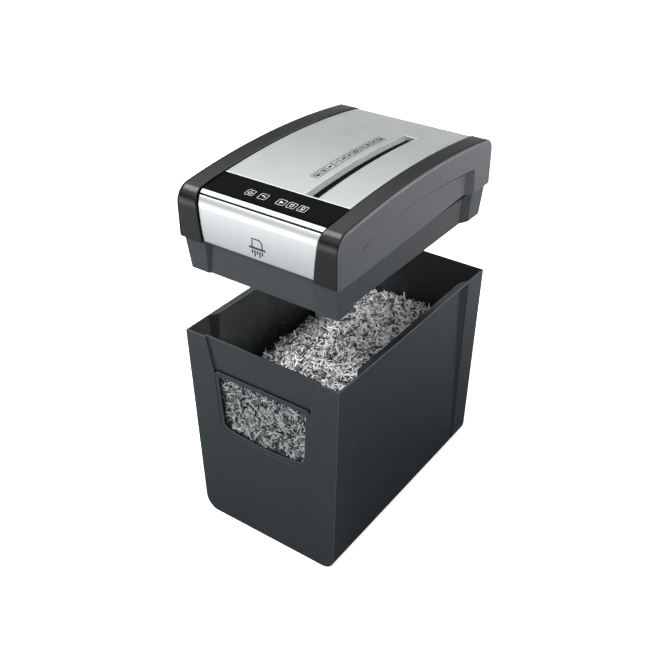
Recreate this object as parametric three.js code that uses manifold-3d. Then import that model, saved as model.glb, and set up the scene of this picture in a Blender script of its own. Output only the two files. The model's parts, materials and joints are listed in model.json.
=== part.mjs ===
// Paper shredder: a cutting head that lifts straight off a deep waste bin.
// Millimetres, +Z up, front towards -Y, origin at the centre of the bin's underside.
// The head is drawn raised, clear of the bin, as it is held while the bin is emptied.
import * as THREE from "three";
import { mergeVertices } from "three/addons/utils/BufferGeometryUtils.js";
import Module from "manifold-3d";

const wasm = await Module();
wasm.setup();

// ---------- driving dimensions ----------

const GAP = 0.3; // clearance between neighbouring pieces
const WALL = 2.5; // moulded wall thickness

const BIN = {
  height: 315,
  halfDepth: 187.2,
  topHalfWidth: 125,
  baseHalfWidth: 116,
  floorRadius: 22, // round of the two long bottom edges
  floorEase: 0.6, // how far the round stands outside the wall, so that it never bites into the corners
  topSide: { inset: 7.5, inner: 131, outer: 143 }, // sunk side panel at the rim
  baseSide: { inset: 1, inner: 147, outer: 149 }, // and at the floor
  ledge: 2.5,
};

const WINDOW = {
  sunk: 3.8, // depth of the recess in the bin's front
  rimHalfWidth: 92,
  topHalfWidth: 80,
  lowHalfWidth: 76,
  top: 266,
  low: 182, // where the sides start to turn under
  footHalfWidth: 62,
  footZ: 165,
  bellyZ: 155,
  border: 5, // overlap of the window on the wall behind it
  thickness: 2.6,
};

const HEAP = { left: 207, middle: 226, bank: 258, halfX: 108, halfY: 179, stepsX: 8, stepsY: 17 };

const HEAD = {
  z: 455, // underside of the upper casing while the head is raised
  halfWidth: 122.5,
  halfDepth: 184,
  crown: 79, // height of the casing's top at mid depth
  crownRadius: 1253,
  frontRadius: 24,
  rearRadius: 18,
  railOuter: 120,
  railShell: 3,
  shoulder: 4, // round of the side covers' outer edge
  coverInner: 112,
};

// Centre strip of the head, between the rails: narrow at the foot, wide on top.
const CENTRE = { foot: 85.5, shoulder: 92, shoulderZ: 58, top: 95.7, topZ: 70, front: 3.5, sunk: 1.3 };

// Where the centre strip is divided, front to back.
const SPLIT = { fascia: -174, trim: -166, panel: -121, rear: 168 };

const SKIRT = {
  depth: 47,
  top: {
    halfX: 118,
    halfY: 179.5,
    side: { inset: 7, inner: 129.5, outer: 142 },
    front: { inset: 7.5, inner: 77, outer: 84 },
  },
  base: {
    halfX: 114.5,
    halfY: 175,
    side: { inset: 7, inner: 130, outer: 143 },
    front: { inset: 3, inner: 83, outer: 86 },
  },
};

// Sunk arch in each side cover.
const ARCH = {
  front: -138,
  frontZ: 26,
  rear: 137,
  rearRadius: 10,
  rearTop: 38.6,
  depth: 8,
  ramp: 13,
  crest: [[119, 38.6], [-40.5, 59.7], [-131, 35.6]], // Bezier points (y, z) of its upper edge, rear to front
};

// Paper slot: a sunk channel with a steep left wall and the black throat guide as its floor.
const SLOT = { left: 28.3, foot: 32, right: 46.6, front: -118.6, rear: 105, depth: 8.5, wall: 1.5 };
const THROAT = { left: 40.3, right: 46.3, wall: 1.6, foot: 24, flange: 1.6 };

const BUTTON = { size: 13, y: -147.8, gap: 0.35, stem: 6, stemFoot: 57.2 };
const BUTTON_X = { power: -32.4, reverse: -12.8 };
const LIGHT_X = { ready: 14.4, bin_full: 29.8, jam: 45.6 };
const LIGHT_FOOT = 60;

// Cutting frame. Positions are (x, z) in the head, with z from the casing's underside.
const CUTTER = {
  left: [26, 5],
  right: [60, 5],
  discRadius: 20,
  notch: 3.5,
  teeth: 3,
  discWidth: 8.2,
  pitch: 18,
  first: -112,
  count: 12,
  turn: 0.4, // each disc is turned on the shaft from the one before
  coreRadius: 9,
  journal: 6,
};
const PLATE = { thickness: 3, front: -126, rear: 108, foot: -44.2, left: -10, right: 96, top: 36 };
const MOTOR = { at: [-42, 16], radius: 30, from: 32, to: 107.6, bore: 3, shaft: 2.5, screwPitch: 20 };
const IDLER_AT = [-16, 25];
const TIE_ROD_AT = [[-1, 30], [-1, -24], [87, 30], [87, -24]];
const TIE_ROD_RADIUS = 3.5;
const EXIT = { left: -8, right: 94, front: -121.5, rear: 106.5 };
const SCREW_AT = [[-104, -160], [104, -160], [-104, 160], [104, 160]];
const SCREW = { shank: 1.5, hole: 1.8, head: 3, sink: 3.3, boss: 4.5, headHeight: 2.7 };
const BUSH = { radius: 8.8, hole: 9.1, proud: 0.6 };
const COMB = { barFrom: 1.4, barTo: 4.6, barRise: 11, fingerTo: 16.2, fingerHalf: 4, fingerRise: 9 };
const IDLER_PIN = 3;
const MOTOR_PLATE = { left: -76, top: 50, hole: 5 }; // where the rear bearing plate carries the motor

const GEAR = {
  sync: { teeth: 17, module: 2, from: -134, to: -128 },
  drive: { teeth: 48, module: 1.5, from: 121, to: 129 },
  idlerSmall: { teeth: 14, module: 1.5, from: 120, to: 129 },
  idlerLarge: { teeth: 44, module: 1, from: 114, to: 120 },
  pinion: { teeth: 11, module: 1, from: 113.5, to: 120.5 },
};

const SENSOR = { pivot: [33, 50], y: -7, arm: 11.5, thickness: 3, hub: 3.2, pin: 1.2 };
const SWITCH = { x: -115.6, y: -100, radius: 1.6, travelRoom: 4, foot: 6, height: 16, halfX: 2.6, halfY: 9 };
const GLAND = { at: [-70, 14], radius: 7, bore: 3.5, length: 8, flange: 2 };
const VENT = { count: 9, first: -24, pitch: 9, width: 3.5, foot: 14, top: 40 };
const BOARD = { halfX: 62, front: -157, rear: -121, foot: 54, thickness: 1.6 };

// ---------- materials ----------

const plastic = (color, roughness) => new THREE.MeshStandardMaterial({ color, roughness, metalness: 0 });
const metal = (color, roughness) => new THREE.MeshStandardMaterial({ color, roughness, metalness: 1 });

const MATERIAL = {
  binPlastic: plastic(0x2a2e30, 0.25),
  window: plastic(0x3a3d3f, 0.1),
  paper: plastic(0xe6e6e2, 0.9),
  casing: plastic(0x4a4d4f, 0.45),
  cover: plastic(0x6c6f71, 0.4),
  rail: plastic(0x3c4142, 0.3),
  silver: plastic(0xc4c7c8, 0.35),
  gloss: plastic(0x0e1011, 0.08),
  blackPlastic: plastic(0x141516, 0.5),
  lens: plastic(0xf4f4f2, 0.2),
  steel: metal(0xb8babb, 0.35),
  bronze: metal(0x9a7344, 0.4),
  nylon: plastic(0xe4e0d2, 0.5),
  board: plastic(0x1c5a34, 0.5),
};

// ---------- solids ----------

/** A closed manifold solid from a three.js geometry. */
function solidOf(geometry) {
  geometry.deleteAttribute("normal");
  geometry.deleteAttribute("uv");
  const merged = mergeVertices(geometry, 1e-4);
  return new wasm.Manifold(
    new wasm.Mesh({
      numProp: 3,
      vertProperties: new Float32Array(merged.attributes.position.array),
      triVerts: new Uint32Array(merged.index.array),
    }),
  );
}

/** The geometry of a manifold solid. */
function geometryOf(solid) {
  const mesh = solid.getMesh();
  const geometry = new THREE.BufferGeometry();
  geometry.setAttribute("position", new THREE.BufferAttribute(new Float32Array(mesh.vertProperties), 3));
  geometry.setIndex(new THREE.BufferAttribute(new Uint32Array(mesh.triVerts), 1));
  geometry.computeVertexNormals();
  return geometry;
}

const v2 = (x, y) => new THREE.Vector2(x, y);
const union = (first, ...others) => others.reduce((sum, next) => sum.add(next), first);

// How an outline drawn in two directions stands up: across x, y or z.
const STAND = {
  x: new THREE.Matrix4().makeBasis(
    new THREE.Vector3(0, 1, 0),
    new THREE.Vector3(0, 0, 1),
    new THREE.Vector3(1, 0, 0),
  ),
  y: new THREE.Matrix4().makeBasis(
    new THREE.Vector3(1, 0, 0),
    new THREE.Vector3(0, 0, 1),
    new THREE.Vector3(0, -1, 0),
  ),
  z: new THREE.Matrix4(),
};

/** An outline drawn out along an axis: (y, z) along x, (x, z) along y or (x, y) along z. */
function prism(axis, from, to, outline) {
  const shape = new THREE.Shape(outline);
  const geometry = new THREE.ExtrudeGeometry(shape, { depth: to - from, bevelEnabled: false });
  geometry.applyMatrix4(STAND[axis]);
  const shift = { x: [from, 0, 0], y: [0, to, 0], z: [0, 0, from] }[axis];
  geometry.translate(...shift);
  return solidOf(geometry);
}

/** A solid through outlines with equal numbers of points, each at its own place on the axis. */
function loft(axis, sections) {
  const place = {
    x: (p, at) => [at, p.x, p.y],
    y: (p, at) => [p.x, at, p.y],
    z: (p, at) => [p.x, p.y, at],
  }[axis];
  const direction = axis === "y" ? -1 : 1;
  const ordered = [...sections].sort((a, b) => direction * (a.at - b.at));
  const count = ordered[0].outline.length;
  const positions = ordered.flatMap(({ at, outline }) => outline.flatMap((p) => place(p, at)));
  const index = [];
  for (let ring = 0; ring + 1 < ordered.length; ring += 1) {
    for (let i = 0; i < count; i += 1) {
      const a = ring * count + i;
      const b = ring * count + ((i + 1) % count);
      index.push(a, b, b + count, a, b + count, a + count);
    }
  }
  const last = (ordered.length - 1) * count;
  for (const [a, b, c] of THREE.ShapeUtils.triangulateShape(ordered[0].outline, [])) {
    index.push(c, b, a);
  }
  for (const [a, b, c] of THREE.ShapeUtils.triangulateShape(ordered.at(-1).outline, [])) {
    index.push(last + a, last + b, last + c);
  }
  const geometry = new THREE.BufferGeometry();
  geometry.setAttribute("position", new THREE.Float32BufferAttribute(positions, 3));
  geometry.setIndex(index);
  return solidOf(geometry);
}

/** A block between two corners. */
function block(x0, x1, y0, y1, z0, z1) {
  const geometry = new THREE.BoxGeometry(x1 - x0, y1 - y0, z1 - z0);
  geometry.translate((x0 + x1) / 2, (y0 + y1) / 2, (z0 + z1) / 2);
  return solidOf(geometry);
}

/** A round bar along y, from y0 to y1, about (x, z). */
function barY(x, z, radius, y0, y1, sides = 20) {
  const geometry = new THREE.CylinderGeometry(radius, radius, y1 - y0, sides);
  geometry.translate(x, (y0 + y1) / 2, z);
  return solidOf(geometry);
}

/** A round bar along z, from z0 to z1, about (x, y). */
function barZ(x, y, radius, z0, z1, sides = 16) {
  const geometry = new THREE.CylinderGeometry(radius, radius, z1 - z0, sides);
  geometry.rotateX(Math.PI / 2);
  geometry.translate(x, y, (z0 + z1) / 2);
  return solidOf(geometry);
}

/** Points on an arc about a centre, both ends included. */
function arc(cx, cy, radius, from, to, steps) {
  return Array.from({ length: steps + 1 }, (_, i) => {
    const angle = from + ((to - from) * i) / steps;
    return v2(cx + radius * Math.cos(angle), cy + radius * Math.sin(angle));
  });
}

/** The outline mirrored in its first direction and joined to itself. */
function mirrored(rightHalf) {
  const leftHalf = rightHalf.map((p) => v2(-p.x, p.y)).reverse();
  return [...rightHalf, ...leftHalf];
}

const MIRROR_X = new THREE.Matrix4().makeScale(-1, 1, 1);

/** A right-hand piece turned into its left-hand twin. */
function leftHanded(solid) {
  return solid.transform(MIRROR_X.toArray());
}

// ---------- scene graph ----------

const shredder = new THREE.Group();
shredder.name = "paper_shredder";
const head = new THREE.Group();
head.name = "cutting_head";
head.position.z = HEAD.z;
shredder.add(head);

function add(parent, name, solid, material, position = [0, 0, 0]) {
  const mesh = new THREE.Mesh(geometryOf(solid), material);
  mesh.name = name;
  mesh.position.set(...position);
  parent.add(mesh);
}

// ---------- bin ----------

/** Plan of a box with sunk side panels, and a sunk front panel where one is given. */
function sunkPlan({ halfX, halfY, side, front }) {
  const frontEdge = front ? [v2(front.inner, -halfY + front.inset), v2(front.outer, -halfY)] : [];
  return mirrored([
    ...frontEdge,
    v2(halfX, -halfY),
    v2(halfX, -side.outer),
    v2(halfX - side.inset, -side.inner),
    v2(halfX - side.inset, side.inner),
    v2(halfX, side.outer),
    v2(halfX, halfY),
  ]);
}

/** The bin's tapered body, moved in by a wall's thickness for its inside. */
function binBody(inset, floor, top) {
  const share = (z) => z / BIN.height;
  const at = (z) => {
    const mix = (a, b) => a + (b - a) * share(z);
    const side = {
      inset: mix(BIN.baseSide.inset, BIN.topSide.inset),
      inner: mix(BIN.baseSide.inner, BIN.topSide.inner) + inset / 3,
      outer: mix(BIN.baseSide.outer, BIN.topSide.outer) + inset / 3,
    };
    const halfX = mix(BIN.baseHalfWidth, BIN.topHalfWidth) - inset;
    return { at: z, outline: sunkPlan({ halfX, halfY: BIN.halfDepth - inset, side }) };
  };
  const radius = BIN.floorRadius - inset;
  const wallX = BIN.baseHalfWidth - inset + BIN.floorEase;
  const reach = BIN.topHalfWidth + 10;
  const round = prism("y", -BIN.halfDepth - 1, BIN.halfDepth + 1, mirrored([
    ...arc(wallX - radius, floor + radius, radius, -Math.PI / 2, 0, 6),
    v2(reach, floor + radius),
    v2(reach, top + 1),
  ]));
  return loft("z", [at(floor), at(top)]).intersect(round);
}

/** Outline in (x, z) of the front recess or the window in it. */
function windowOutline(inset, top, topHalfWidth) {
  const lowX = WINDOW.lowHalfWidth - inset;
  const footX = WINDOW.footHalfWidth - inset * 0.8;
  const shape = new THREE.Path();
  shape.moveTo(footX, WINDOW.footZ + inset);
  shape.quadraticCurveTo(lowX - 1, WINDOW.footZ + inset + 2, lowX, WINDOW.low);
  const corner = shape.getPoints(5);
  const belly = new THREE.Path();
  belly.moveTo(-footX, WINDOW.footZ + inset);
  belly.quadraticCurveTo(0, WINDOW.bellyZ + inset, footX, WINDOW.footZ + inset);
  const below = belly.getPoints(10).slice(1, -1);
  const right = [...corner, v2(topHalfWidth, top)];
  return [...right, ...right.map((p) => v2(-p.x, p.y)).reverse(), ...below];
}

/** The recess in the bin's front, open at the rim, grown for the wall behind it. */
function frontRecess(grow) {
  const above = BIN.height + 2;
  const flare = mirrored([
    v2(WINDOW.topHalfWidth + grow, WINDOW.top - 6),
    v2(WINDOW.rimHalfWidth + grow, above),
  ]);
  const low = windowOutline(-grow, WINDOW.top, WINDOW.topHalfWidth + grow);
  const front = -BIN.halfDepth - 5;
  const back = -BIN.halfDepth + WINDOW.sunk + grow;
  return prism("y", front, back, flare).add(prism("y", front, back, low));
}

function buildBin() {
  const outer = binBody(0, 0, BIN.height).subtract(frontRecess(0));
  const hollow = binBody(WALL, WALL, BIN.height + 1).subtract(frontRecess(WALL));
  const rimFrame = mirrored([
    v2(BIN.topHalfWidth, -BIN.halfDepth),
    v2(BIN.topHalfWidth, BIN.halfDepth),
  ]);
  const ledge = prism("z", BIN.height - BIN.ledge, BIN.height, rimFrame)
    .subtract(frontRecess(0))
    .subtract(hollow);
  const openingTop = WINDOW.top - WINDOW.border - 2;
  const openingHalfWidth = WINDOW.topHalfWidth - WINDOW.border;
  const opening = prism(
    "y",
    -BIN.halfDepth - 5,
    -BIN.halfDepth + 20,
    windowOutline(WINDOW.border, openingTop, openingHalfWidth),
  );
  add(shredder, "bin_shell", outer.subtract(hollow).add(ledge).subtract(opening), MATERIAL.binPlastic);

  const back = -BIN.halfDepth + WINDOW.sunk - GAP;
  const pane = prism(
    "y",
    back - WINDOW.thickness,
    back,
    windowOutline(0.4, WINDOW.top, WINDOW.topHalfWidth - 0.4),
  );
  add(shredder, "window_insert", pane, MATERIAL.window);
}

/** Height of the heap of shreds: banked up behind the window, lower at the left and the back. */
function heapHeight(x, y) {
  const { smoothstep } = THREE.MathUtils;
  const level = HEAP.left + (HEAP.middle - HEAP.left) * smoothstep(x, -110, -20);
  const bank = 1 - smoothstep(y, -176, -112);
  const waves = 2.5 * Math.sin(x / 17) * Math.cos(y / 23) * (1 - bank);
  return level + (HEAP.bank - level) * bank + waves;
}

function buildHeap() {
  const { halfX, halfY, stepsX, stepsY } = HEAP;
  const strips = Array.from({ length: stepsY + 1 }, (_, j) => {
    const y = -halfY + (2 * halfY * j) / stepsY;
    const top = Array.from({ length: stepsX + 1 }, (_, i) => {
      const x = halfX - (2 * halfX * i) / stepsX;
      return v2(x, heapHeight(x, y));
    });
    const foot = [v2(-halfX + 12, WALL + 8), v2(halfX - 12, WALL + 8)];
    return { at: y, outline: [...top, ...foot] };
  });
  add(shredder, "shred_heap", loft("y", strips), MATERIAL.paper);
}

// ---------- head: outer casing ----------

/** Side view (y, z) of the casing, moved in at the front, top and rear. */
function casingProfile(front, top, rear, foot = 0) {
  const crownCentre = HEAD.crown - HEAD.crownRadius;
  const crownRadius = HEAD.crownRadius - top;
  const corner = (side, inset, round) => {
    const radius = round - (inset + top) / 2;
    const y = side * (HEAD.halfDepth - inset - radius);
    const rise = Math.sqrt((crownRadius - radius) ** 2 - y * y);
    return { y, z: crownCentre + rise, radius, angle: Math.atan2(rise, y) };
  };
  const back = corner(1, rear, HEAD.rearRadius);
  const fore = corner(-1, front, HEAD.frontRadius);
  return [
    v2(-HEAD.halfDepth + front, foot),
    v2(HEAD.halfDepth - rear, foot),
    ...arc(back.y, back.z, back.radius, 0, back.angle, 6),
    ...arc(0, crownCentre, crownRadius, back.angle, fore.angle, 20).slice(1, -1),
    ...arc(fore.y, fore.z, fore.radius, fore.angle, Math.PI, 8),
  ];
}

/** A curved sheet over the casing between two profiles. */
function casingSheet(insets, thickness, x0, x1, foot) {
  const outer = casingProfile(insets.front, insets.top, insets.rear, foot);
  const inner = casingProfile(
    insets.front + thickness,
    insets.top + thickness,
    insets.rear + thickness,
    foot - 1,
  );
  return prism("x", x0, x1, outer).subtract(prism("x", x0 - 1, x1 + 1, inner));
}

/** Front view (x, z) of the centre strip between the rails. */
function centreZone(grow) {
  return mirrored([
    v2(CENTRE.foot + grow, -10),
    v2(CENTRE.shoulder + grow, CENTRE.shoulderZ),
    v2(CENTRE.top + grow, CENTRE.topZ),
    v2(CENTRE.top + grow, HEAD.crown + 20),
  ]);
}

const DEEP = HEAD.halfDepth + 10;

/** The centre strip's sheet from one y to another, above a foot. */
function centreSheet(y0, y1, foot) {
  const insets = { front: CENTRE.front, top: CENTRE.sunk, rear: CENTRE.sunk };
  return casingSheet(insets, WALL, -HEAD.halfWidth, HEAD.halfWidth, foot)
    .intersect(prism("y", -DEEP, DEEP, centreZone(0)))
    .intersect(block(-HEAD.halfWidth, HEAD.halfWidth, y0, y1, foot - 2, HEAD.crown + 5));
}

/** Height of the centre strip's surface at a depth y. */
function surfaceAt(y) {
  const radius = HEAD.crownRadius - CENTRE.sunk;
  return HEAD.crown - HEAD.crownRadius + Math.sqrt(radius * radius - y * y);
}

/** An (x, z) outline measured from the surface, carried along y over the crown. */
function alongCrown(y0, y1, outlineAt) {
  const steps = 8;
  const sections = Array.from({ length: steps + 1 }, (_, i) => {
    const y = y0 + ((y1 - y0) * i) / steps;
    return { at: y, outline: outlineAt(surfaceAt(y)) };
  });
  return loft("y", sections);
}

const rectangle = (x0, x1, z0, z1) => [v2(x0, z0), v2(x1, z0), v2(x1, z1), v2(x0, z1)];

function buildRails() {
  const inner = CENTRE.foot - 2;
  const [bossX, bossY] = SCREW_AT[3];
  const reach = HEAD.halfDepth - HEAD.railShell + 0.5;
  const boss = (y0, y1) => block(bossX - 5, bossX + 5, y0, y1, GAP, 10);
  const rail = casingSheet({ front: 0, top: 0, rear: 0 }, HEAD.railShell, inner, HEAD.railOuter, GAP)
    .add(boss(-reach, -bossY + 5.5))
    .add(boss(bossY - 5.5, reach))
    .subtract(prism("y", -DEEP, DEEP, centreZone(GAP)))
    .subtract(barZ(bossX, -bossY, SCREW.hole, -1, 8))
    .subtract(barZ(bossX, bossY, SCREW.hole, -1, 8));
  add(head, "rail_right", rail, MATERIAL.rail);
  add(head, "rail_left", leftHanded(rail), MATERIAL.rail);
}

/** How far out the sunk arch's floor stands at a depth y. */
function archFloor(y) {
  const share = (y - ARCH.front) / (ARCH.rear - ARCH.ramp - ARCH.front);
  return HEAD.halfWidth - ARCH.depth * share;
}

/** The sunk arch of a side cover, grown for the wall behind it. */
function archCut(grow) {
  const outer = HEAD.halfWidth + 10;
  const floorX = (y) => archFloor(y) - grow;
  const rampEnd = ARCH.rear - ARCH.ramp;
  const plan = prism("z", -20, HEAD.crown, [
    v2(outer, ARCH.front - grow),
    v2(outer, ARCH.rear + grow + 10 * (ARCH.ramp / ARCH.depth)),
    v2(floorX(rampEnd), rampEnd + grow),
    v2(floorX(ARCH.front), ARCH.front - grow),
  ]);
  const curve = new THREE.QuadraticBezierCurve(...ARCH.crest.map(([y, z]) => v2(y, z)));
  const sideView = (drop) => [
    v2(ARCH.front - grow, -30),
    v2(ARCH.rear + grow, -30),
    ...arc(
      ARCH.rear + grow - ARCH.rearRadius,
      ARCH.rearTop - ARCH.rearRadius + grow - drop,
      ARCH.rearRadius,
      0,
      Math.PI / 2,
      4,
    ),
    ...curve.getPoints(12).slice(1).map((p) => v2(p.x, p.y + grow - drop)),
    v2(ARCH.front - grow, ARCH.frontZ + grow - drop),
  ];
  const side = loft("x", [
    { at: HEAD.halfWidth - ARCH.depth - grow - 1, outline: sideView(ARCH.depth) },
    { at: HEAD.halfWidth - grow, outline: sideView(0) },
    { at: outer, outline: sideView(0) },
  ]);
  return plan.intersect(side);
}

function buildSideCovers() {
  const round = Array.from({ length: 5 }, (_, i) => {
    const angle = (Math.PI / 2) * (i / 4);
    const inset = HEAD.shoulder * (1 - Math.cos(angle)) * 0.8;
    return {
      at: HEAD.railOuter + GAP + (HEAD.halfWidth - HEAD.railOuter - GAP) * Math.sin(angle),
      outline: casingProfile(inset, inset, inset, GAP),
    };
  });
  const under = HEAD.railShell + GAP;
  const body = prism("x", HEAD.coverInner, HEAD.railOuter + 0.6, casingProfile(under, under, under, GAP));
  const deep = under + WALL;
  const hollowTop = prism(
    "x",
    HEAD.coverInner - 1,
    HEAD.halfWidth - WALL,
    casingProfile(deep, deep, deep, -5),
  );
  const [bossX, bossY] = SCREW_AT[3];
  const bossRoom = (y) => block(bossX - 8, bossX + 8, y - 9, y + 9, -1, 12);
  const cover = loft("x", round)
    .add(body)
    .subtract(hollowTop.subtract(archCut(WALL)))
    .subtract(archCut(0))
    .subtract(bossRoom(-bossY))
    .subtract(bossRoom(bossY));
  add(head, "side_cover_right", cover, MATERIAL.cover);
  add(head, "side_cover_left", leftHanded(cover), MATERIAL.cover);
}

function buildFront() {
  const fascia = centreSheet(-DEEP, SPLIT.fascia, 2);
  add(head, "front_fascia", fascia, MATERIAL.silver);
  add(head, "fascia_trim", centreSheet(SPLIT.fascia + 0.8, SPLIT.trim - GAP, 20), MATERIAL.silver);
}

/** Square post through the control panel, straight up. */
function panelPost(x, size, z0, z1) {
  return block(x - size / 2, x + size / 2, BUTTON.y - size / 2, BUTTON.y + size / 2, z0, z1);
}

function buildControls() {
  let panel = centreSheet(SPLIT.trim, SPLIT.panel - GAP, 20);
  const cap = (x) => panel.intersect(panelPost(x, BUTTON.size, 0, 100));
  const buttons = Object.entries(BUTTON_X).map(([name, x]) => {
    const stem = panelPost(x, BUTTON.stem, BUTTON.stemFoot, surfaceAt(BUTTON.y) - 1);
    return [`${name}_button`, cap(x).add(stem)];
  });
  const lights = Object.entries(LIGHT_X).map(([name, x]) => {
    const pipe = panelPost(x, BUTTON.stem, LIGHT_FOOT, surfaceAt(BUTTON.y) - 1);
    return [`light_lens_${name}`, cap(x).add(pipe)];
  });
  for (const x of [...Object.values(BUTTON_X), ...Object.values(LIGHT_X)]) {
    panel = panel.subtract(panelPost(x, BUTTON.size + 2 * BUTTON.gap, 0, 100));
  }
  add(head, "control_panel", panel, MATERIAL.gloss);
  for (const [name, solid] of buttons) {
    add(head, name, solid, MATERIAL.gloss);
  }
  for (const [name, solid] of lights) {
    add(head, name, solid, MATERIAL.lens);
  }
  const { halfX, front, rear, foot, thickness } = BOARD;
  const board = block(-halfX, halfX, front, rear, foot, foot + thickness);
  add(head, "circuit_board", board, MATERIAL.board);
}

function buildTopPanel() {
  const { left, foot, right, front, rear, depth, wall } = SLOT;
  const mouth = alongCrown(front, rear, (s) => rectangle(left, right, s - 2 * depth, s + 5));
  const skin = WALL - 0.2;
  const leftWall = alongCrown(front - wall, rear + wall, (s) => [
    v2(left - 1, s - skin),
    v2(foot - wall, s - depth),
    v2(foot, s - depth),
    v2(left, s - 0.01),
    v2(left - 1, s - 0.01),
  ]);
  const rightWall = alongCrown(front - wall, rear + wall, (s) =>
    rectangle(right, right + wall, s - depth, s - 0.01),
  );
  const endWall = (y0, y1) =>
    alongCrown(y0, y1, (s) => [
      v2(left - 1, s - skin),
      v2(foot - wall, s - depth),
      v2(right + wall, s - depth),
      v2(right + wall, s - 0.01),
      v2(left - 1, s - 0.01),
    ]);
  const panel = union(
    centreSheet(SPLIT.panel, SPLIT.rear, 20).subtract(mouth),
    leftWall,
    rightWall,
    endWall(front - wall, front),
    endWall(rear, rear + wall),
  );
  add(head, "top_panel", panel, MATERIAL.silver);
}

/** Throat guide: a flange under the slot's channel and a flat funnel down to the cutters. */
function buildThroatGuide() {
  const { front, rear } = SLOT;
  const top = SLOT.depth + GAP;
  const tube = (grow, rise) =>
    alongCrown(front + 1 - grow, rear - 1 + grow, (s) =>
      rectangle(THROAT.left - grow, THROAT.right + grow, THROAT.foot, s - top + rise),
    );
  const flange = alongCrown(front - SLOT.wall, rear + SLOT.wall, (s) =>
    rectangle(SLOT.foot - SLOT.wall, SLOT.right + SLOT.wall, s - top - THROAT.flange, s - top),
  );
  const { pivot, y } = SENSOR;
  const flagWindow = block(THROAT.left - 4, THROAT.left + 2, y - 3, y + 3, pivot[1] - 12, pivot[1] + 5);
  const bore = alongCrown(front + 1, rear - 1, (s) =>
    rectangle(THROAT.left, THROAT.right, THROAT.foot - 5, s + 5),
  );
  const guide = tube(THROAT.wall, 0).add(flange).subtract(bore).subtract(flagWindow);
  add(head, "throat_guide", guide, MATERIAL.blackPlastic);
}

function buildRearCover() {
  let cover = centreSheet(SPLIT.rear + GAP, DEEP, GAP);
  for (let i = 0; i < VENT.count; i += 1) {
    const left = VENT.first + i * VENT.pitch;
    cover = cover.subtract(block(left, left + VENT.width, HEAD.halfDepth - 10, DEEP, VENT.foot, VENT.top));
  }
  const [x, z] = GLAND.at;
  cover = cover.subtract(barY(x, z, GLAND.radius + GAP, HEAD.halfDepth - 12, DEEP));
  add(head, "rear_cover", cover, MATERIAL.rail);
  const face = HEAD.halfDepth - CENTRE.sunk;
  const gland = barY(0, 0, GLAND.radius, face - GLAND.length, face - 0.2)
    .add(barY(0, 0, GLAND.radius + GLAND.flange, face - GLAND.length, face - WALL - GAP))
    .subtract(barY(0, 0, GLAND.bore, face - 20, face + 20, 16));
  add(head, "cord_gland", gland, MATERIAL.blackPlastic, [x, 0, z]);
}

const LIP = { rise: 1.7, tie: 2.2 };

/** Lip on the tub's right wall that closes the gap under the side cover. */
function lipBesideCovers() {
  const root = SKIRT.top.halfX - SKIRT.top.side.inset;
  const half = SKIRT.top.side.inner - 2;
  const edge = (y) => archFloor(y) - WALL - 2 * GAP;
  const shelf = prism("z", 0, LIP.rise, [
    v2(root - LIP.tie, -half),
    v2(edge(-half), -half),
    v2(edge(ARCH.rear - ARCH.ramp), ARCH.rear - ARCH.ramp),
    v2(root - LIP.tie, half),
  ]);
  return shelf.add(block(root - LIP.tie, root - GAP, -half, half - 4, -1, LIP.rise));
}

/** Lip on the tub's front wall that closes the gap behind the fascia. */
function lipBehindFascia() {
  const front = -HEAD.halfDepth + CENTRE.front + WALL + GAP;
  const wall = -SKIRT.top.halfY + SKIRT.top.front.inset;
  const half = SKIRT.top.front.inner - 1;
  return block(-half, half, front, wall + LIP.tie, -1, LIP.rise);
}

function buildLowerCasing() {
  const shrink = ({ halfX, halfY, side, front }, inset) => ({
    halfX: halfX - inset,
    halfY: halfY - inset,
    side: { ...side, inner: side.inner + inset / 3, outer: side.outer + inset / 3 },
    front: { ...front, inner: front.inner + inset / 3, outer: front.outer + inset / 3 },
  });
  const tub = (inset, foot, top) =>
    loft("z", [
      { at: foot, outline: sunkPlan(shrink(SKIRT.base, inset)) },
      { at: top, outline: sunkPlan(shrink(SKIRT.top, inset)) },
    ]);
  let casing = tub(0, -SKIRT.depth, 0)
    .subtract(tub(WALL, -SKIRT.depth + WALL, 0.5))
    .subtract(block(EXIT.left, EXIT.right, EXIT.front, EXIT.rear, -60, -30));
  const sideLip = lipBesideCovers();
  casing = casing.add(sideLip).add(leftHanded(sideLip)).add(lipBehindFascia());
  casing = casing.subtract(barZ(SWITCH.x, SWITCH.y, SWITCH.radius + GAP, -1, 5));
  for (const [x, y] of SCREW_AT) {
    casing = casing
      .add(barZ(x, y, SCREW.boss, -SKIRT.depth + 1, 0))
      .subtract(barZ(x, y, SCREW.hole, -SKIRT.depth - 1, 5))
      .subtract(barZ(x, y, SCREW.sink, -SKIRT.depth - 1, -SKIRT.depth + 6));
  }
  add(head, "lower_casing", casing, MATERIAL.casing);
  const seat = -SKIRT.depth + 3;
  SCREW_AT.forEach(([x, y], i) => {
    const screw = barZ(0, 0, SCREW.head, seat, seat + SCREW.headHeight)
      .add(barZ(0, 0, SCREW.shank, seat + 2, 6, 12));
    add(head, `casing_screw_${i + 1}`, screw, MATERIAL.steel, [x, y, 0]);
  });
}

// ---------- head: gears ----------

/** Outline (x, z) of a spur gear with a tooth at the given angle. */
function gearOutline({ teeth, module: size }, angle) {
  const pitch = (teeth * size) / 2;
  const step = (2 * Math.PI) / teeth;
  const rootRadius = pitch - 1.2 * size;
  const tipRadius = pitch + 0.8 * size;
  const rootHalf = step * 0.27;
  const tipHalf = step * 0.1;
  return Array.from({ length: teeth }, (_, i) => {
    const middle = angle + i * step;
    return [
      [rootRadius, middle - rootHalf],
      [tipRadius, middle - tipHalf],
      [tipRadius, middle + tipHalf],
      [rootRadius, middle + rootHalf],
    ].map(([r, a]) => v2(r * Math.cos(a), r * Math.sin(a)));
  }).flat();
}

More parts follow.
